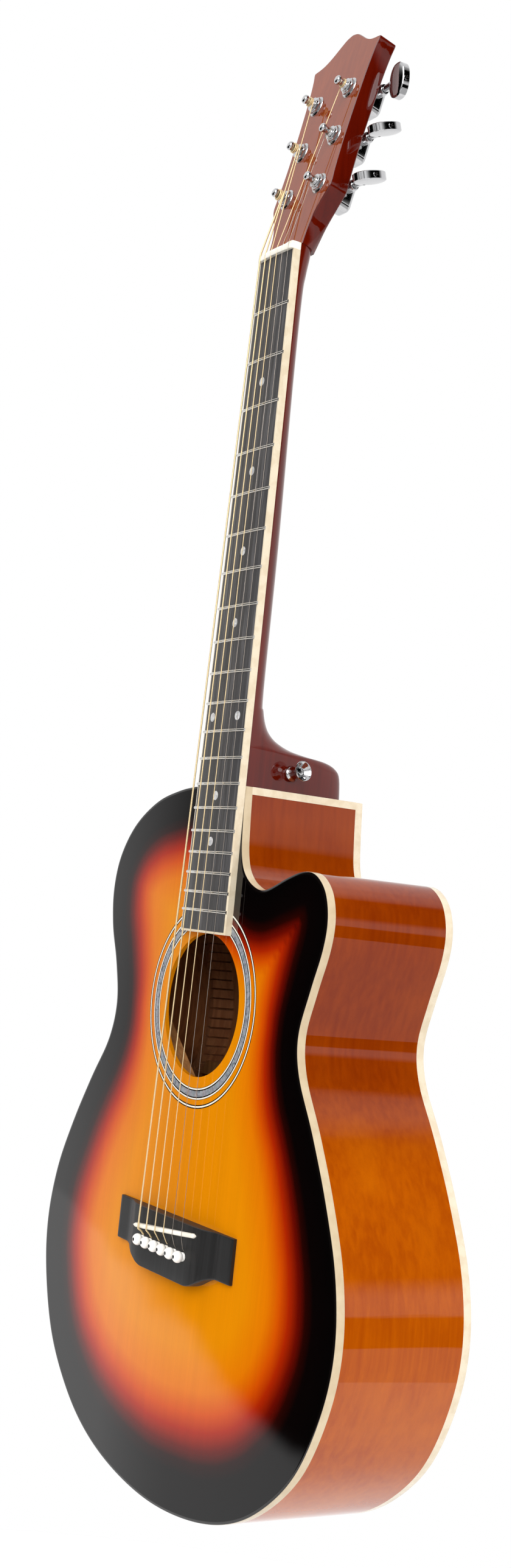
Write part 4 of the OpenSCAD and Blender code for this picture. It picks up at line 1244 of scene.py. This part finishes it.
def string_path(i):
    """Round the post, over the nut and the saddle, and down beside the pin."""
    r = STRING_R[i - 1]
    side, post = (1, i + 3) if i <= 3 else (-1, 7 - i)
    x0 = -side * POST_X
    s0 = POST_FIRST + (post - 1) % 3 * POST_STEP
    loop = POST_WAIST + 0.25 + r
    steps, turns = 24, 2.25
    path = []
    for k in range(int(turns * steps) + 1):
        left = (turns * steps - k) / steps
        a = side * left * math.tau
        path.append(HEAD @ Vector((x0 + side * loop * math.cos(a), -5 - r - left * min(2.1 * r, 1.1),
                                   s0 + side * loop * math.sin(a))))
    hole = PIN_U - PIN_R - 0.75
    over = -(BOARD_T + NUT_LIFT)
    path += [NECK @ Vector((string_x(i, NUT_STEP), y, zu(u)))
             for y, u in ((over + 0.02, -4.6), (over, -3), (over, 0))]
    x = string_x(i, PIN_STEP)
    top = -saddle_top(x) - r - 0.03
    at = SADDLE_U - (x - 1) * math.tan(SADDLE_SLANT)
    low = -BRIDGE_H - r
    return path + [Vector((x, y, zu(u))) for y, u in (
        (top, at - 1.6), (top, at + 1.6), (low - 1, hole - 2.2), (low - 0.2, hole - 0.9),
        (low + 0.9, hole - 0.15), (low + 2.4, hole), (PLATE + 4, hole))]


def make_strings():
    for i in range(1, 7):
        r = STRING_R[i - 1]
        coat, slot, wrap = (BRONZE, "bronze_string", 1.5) if i <= 4 else (PLAIN, "plain_string", 0)
        piece = make_string_tube(f"string_{i}_wire", string_path(i), r, r * wrap, coat)
        settle(piece, slot, f"string_{i}")


# ---- CAD pieces that keep their shape -------------------------------------------------

def coat_cad():
    """Finishes on the CAD pieces that show as they are."""
    coats = {INNER: ["neck_block", "tail_block", "top_braces", "back_braces", "bridge_plate"],
             STEEL: ["truss_rod"],
             BRASS: ["truss_rod_nut", *(f"tuner_gear_{i}" for i in range(1, 7))],
             CHROME: ["tuner_screws", *(f"tuner_worm_{i}" for i in range(1, 7))]}
    for coat, names in coats.items():
        for name in names:
            mesh = frame["nodes"][name].data
            mesh.materials.clear()
            mesh.materials.append(coat)


# ---- Studio ---------------------------------------------------------------------------

def sun_lamp(name, toward, strength, spread):
    """A wide soft light from a direction; only the front one shows in the gloss."""
    light = bpy.data.lights.new(name, "SUN")
    light.energy, light.angle = strength, math.radians(spread)
    holder = in_scene(name, light)
    holder.rotation_euler = Vector(toward).to_track_quat("Z", "Y").to_euler()
    holder.visible_glossy = name == "front_light"


def make_studio():
    """A pale round floor below the guitar, soft light from the front and an even sky."""
    pale = Finish("pale_floor")
    speck = pale.mottle(400)
    paint = pale.done(Base_Color=pale.mix(speck, (0.84, 0.84, 0.84), (0.88, 0.88, 0.88)),
                      Roughness=0.9)
    Shape().add(*turned([(0, -1250), (1100, -1250)], 96)).piece("studio_floor", paint)
    world = bpy.data.worlds.new("studio_air")
    bpy.context.scene.world = world
    world.use_nodes = True
    tree = Tree(world.node_tree.nodes, world.node_tree.links)
    tree.nodes.clear()
    way = tree.node("ShaderNodeTexCoord", {}, {}, "Generated")
    x, y, z = tree.split(way)
    behind = y * 0.857 - x * 0.515
    left = x < 0
    sky = tree.ease(behind, -0.01, 0.08, 0.0, 0.85) * left
    backdrop = tree.ease(y, 0.62, 0.78, 0.0, 0.9) * (1 - left)
    crown = tree.ease(z, 0.38, 0.55, 0.0, 0.9) * tree.ease(x, 0.2, 0.5, 1.0, 0.0)
    hills = tree.node("ShaderNodeTexNoise", {}, {0: way, "Scale": 7.0, "Detail": 4.0})
    front_wall = tree.ease(x * 0.6 - y * 0.8, 0.5, 0.9) * tree.ease(hills, 0.42, 0.56, 0.1, 0.9)
    skyline = z - behind * left * 0.8 + (hills - 0.5) * 0.1
    ground = tree.ease(skyline, -0.215, -0.2, 0.6, 0.0)
    beside = tree.ease(x * 0.8 + y * 0.55, 0.5, 0.65)
    rough_edge = z + (hills - 0.5) * 0.2
    bands = tree.ease(rough_edge, 0.02, 0.05) * tree.ease(z, 0.16, 0.3, 0.75, 0.0)
    bands = bands + tree.ease(rough_edge, 0.64, 0.7, 0.0, 0.25)
    glow = sky + backdrop + crown + front_wall + ground + bands * beside
    seen = tree.node("ShaderNodeLightPath", {}, {}, "Is Camera Ray")
    strength = seen + (1 - seen) * tree.maths("MINIMUM", glow, 1.0)
    air = tree.node("ShaderNodeBackground", {}, {0: (1, 1, 1, 1), 1: strength})
    tree.links.new(air.socket, tree.nodes.new("ShaderNodeOutputWorld").inputs[0])
    for name, toward, strength, spread in (("front_light", (1.0, -1.3, 0.9), 2.2, 50),
                                           ("side_light", (1.3, 0.35, 0.35), 1.2, 70),
                                           ("far_light", (-1.0, -0.9, 0.5), 0.8, 70),
                                           ("back_light", (0.2, 1.3, 0.4), 0.8, 70)):
        sun_lamp(name, toward, strength, spread)


CAMERA_AT = Vector((1.04677, -0.62372, -0.46598))
CAMERA_LOOKS = Vector((-0.8647, 0.4989, 0.0578))
CAMERA_RIGHT = Vector((0.5023, 0.8579, 0.1080))


def make_camera():
    """A normal lens, close and slightly below the middle, rolled a little."""
    camera = bpy.data.cameras.new("camera")
    camera.sensor_width, camera.lens = 36.0, 42.04
    camera.shift_x, camera.shift_y = 0.0376, 0.0128
    camera.clip_start, camera.clip_end = 0.05, 100
    holder = in_scene("camera", camera)
    back = -CAMERA_LOOKS.normalized()
    right = (CAMERA_RIGHT - back * CAMERA_RIGHT.dot(back)).normalized()
    axes = Matrix((right, back.cross(right), back)).transposed().to_4x4()
    holder.matrix_world = Matrix.Translation(CAMERA_AT) @ axes
    bpy.context.scene.camera = holder
    bpy.context.scene.view_settings.view_transform = "Standard"


# ---- Making ---------------------------------------------------------------------------

make_camera()
make_studio()
make_soundboard()
make_back()
make_kerfs(make_rim())
for make in (make_rosette, make_bridge, make_saddle, make_pins, make_neck, make_fingerboard,
             make_frets, make_dots, make_nut, make_housings, make_bushings, make_tuner_movers,
             make_strap_button, make_strings, coat_cad):
    make()
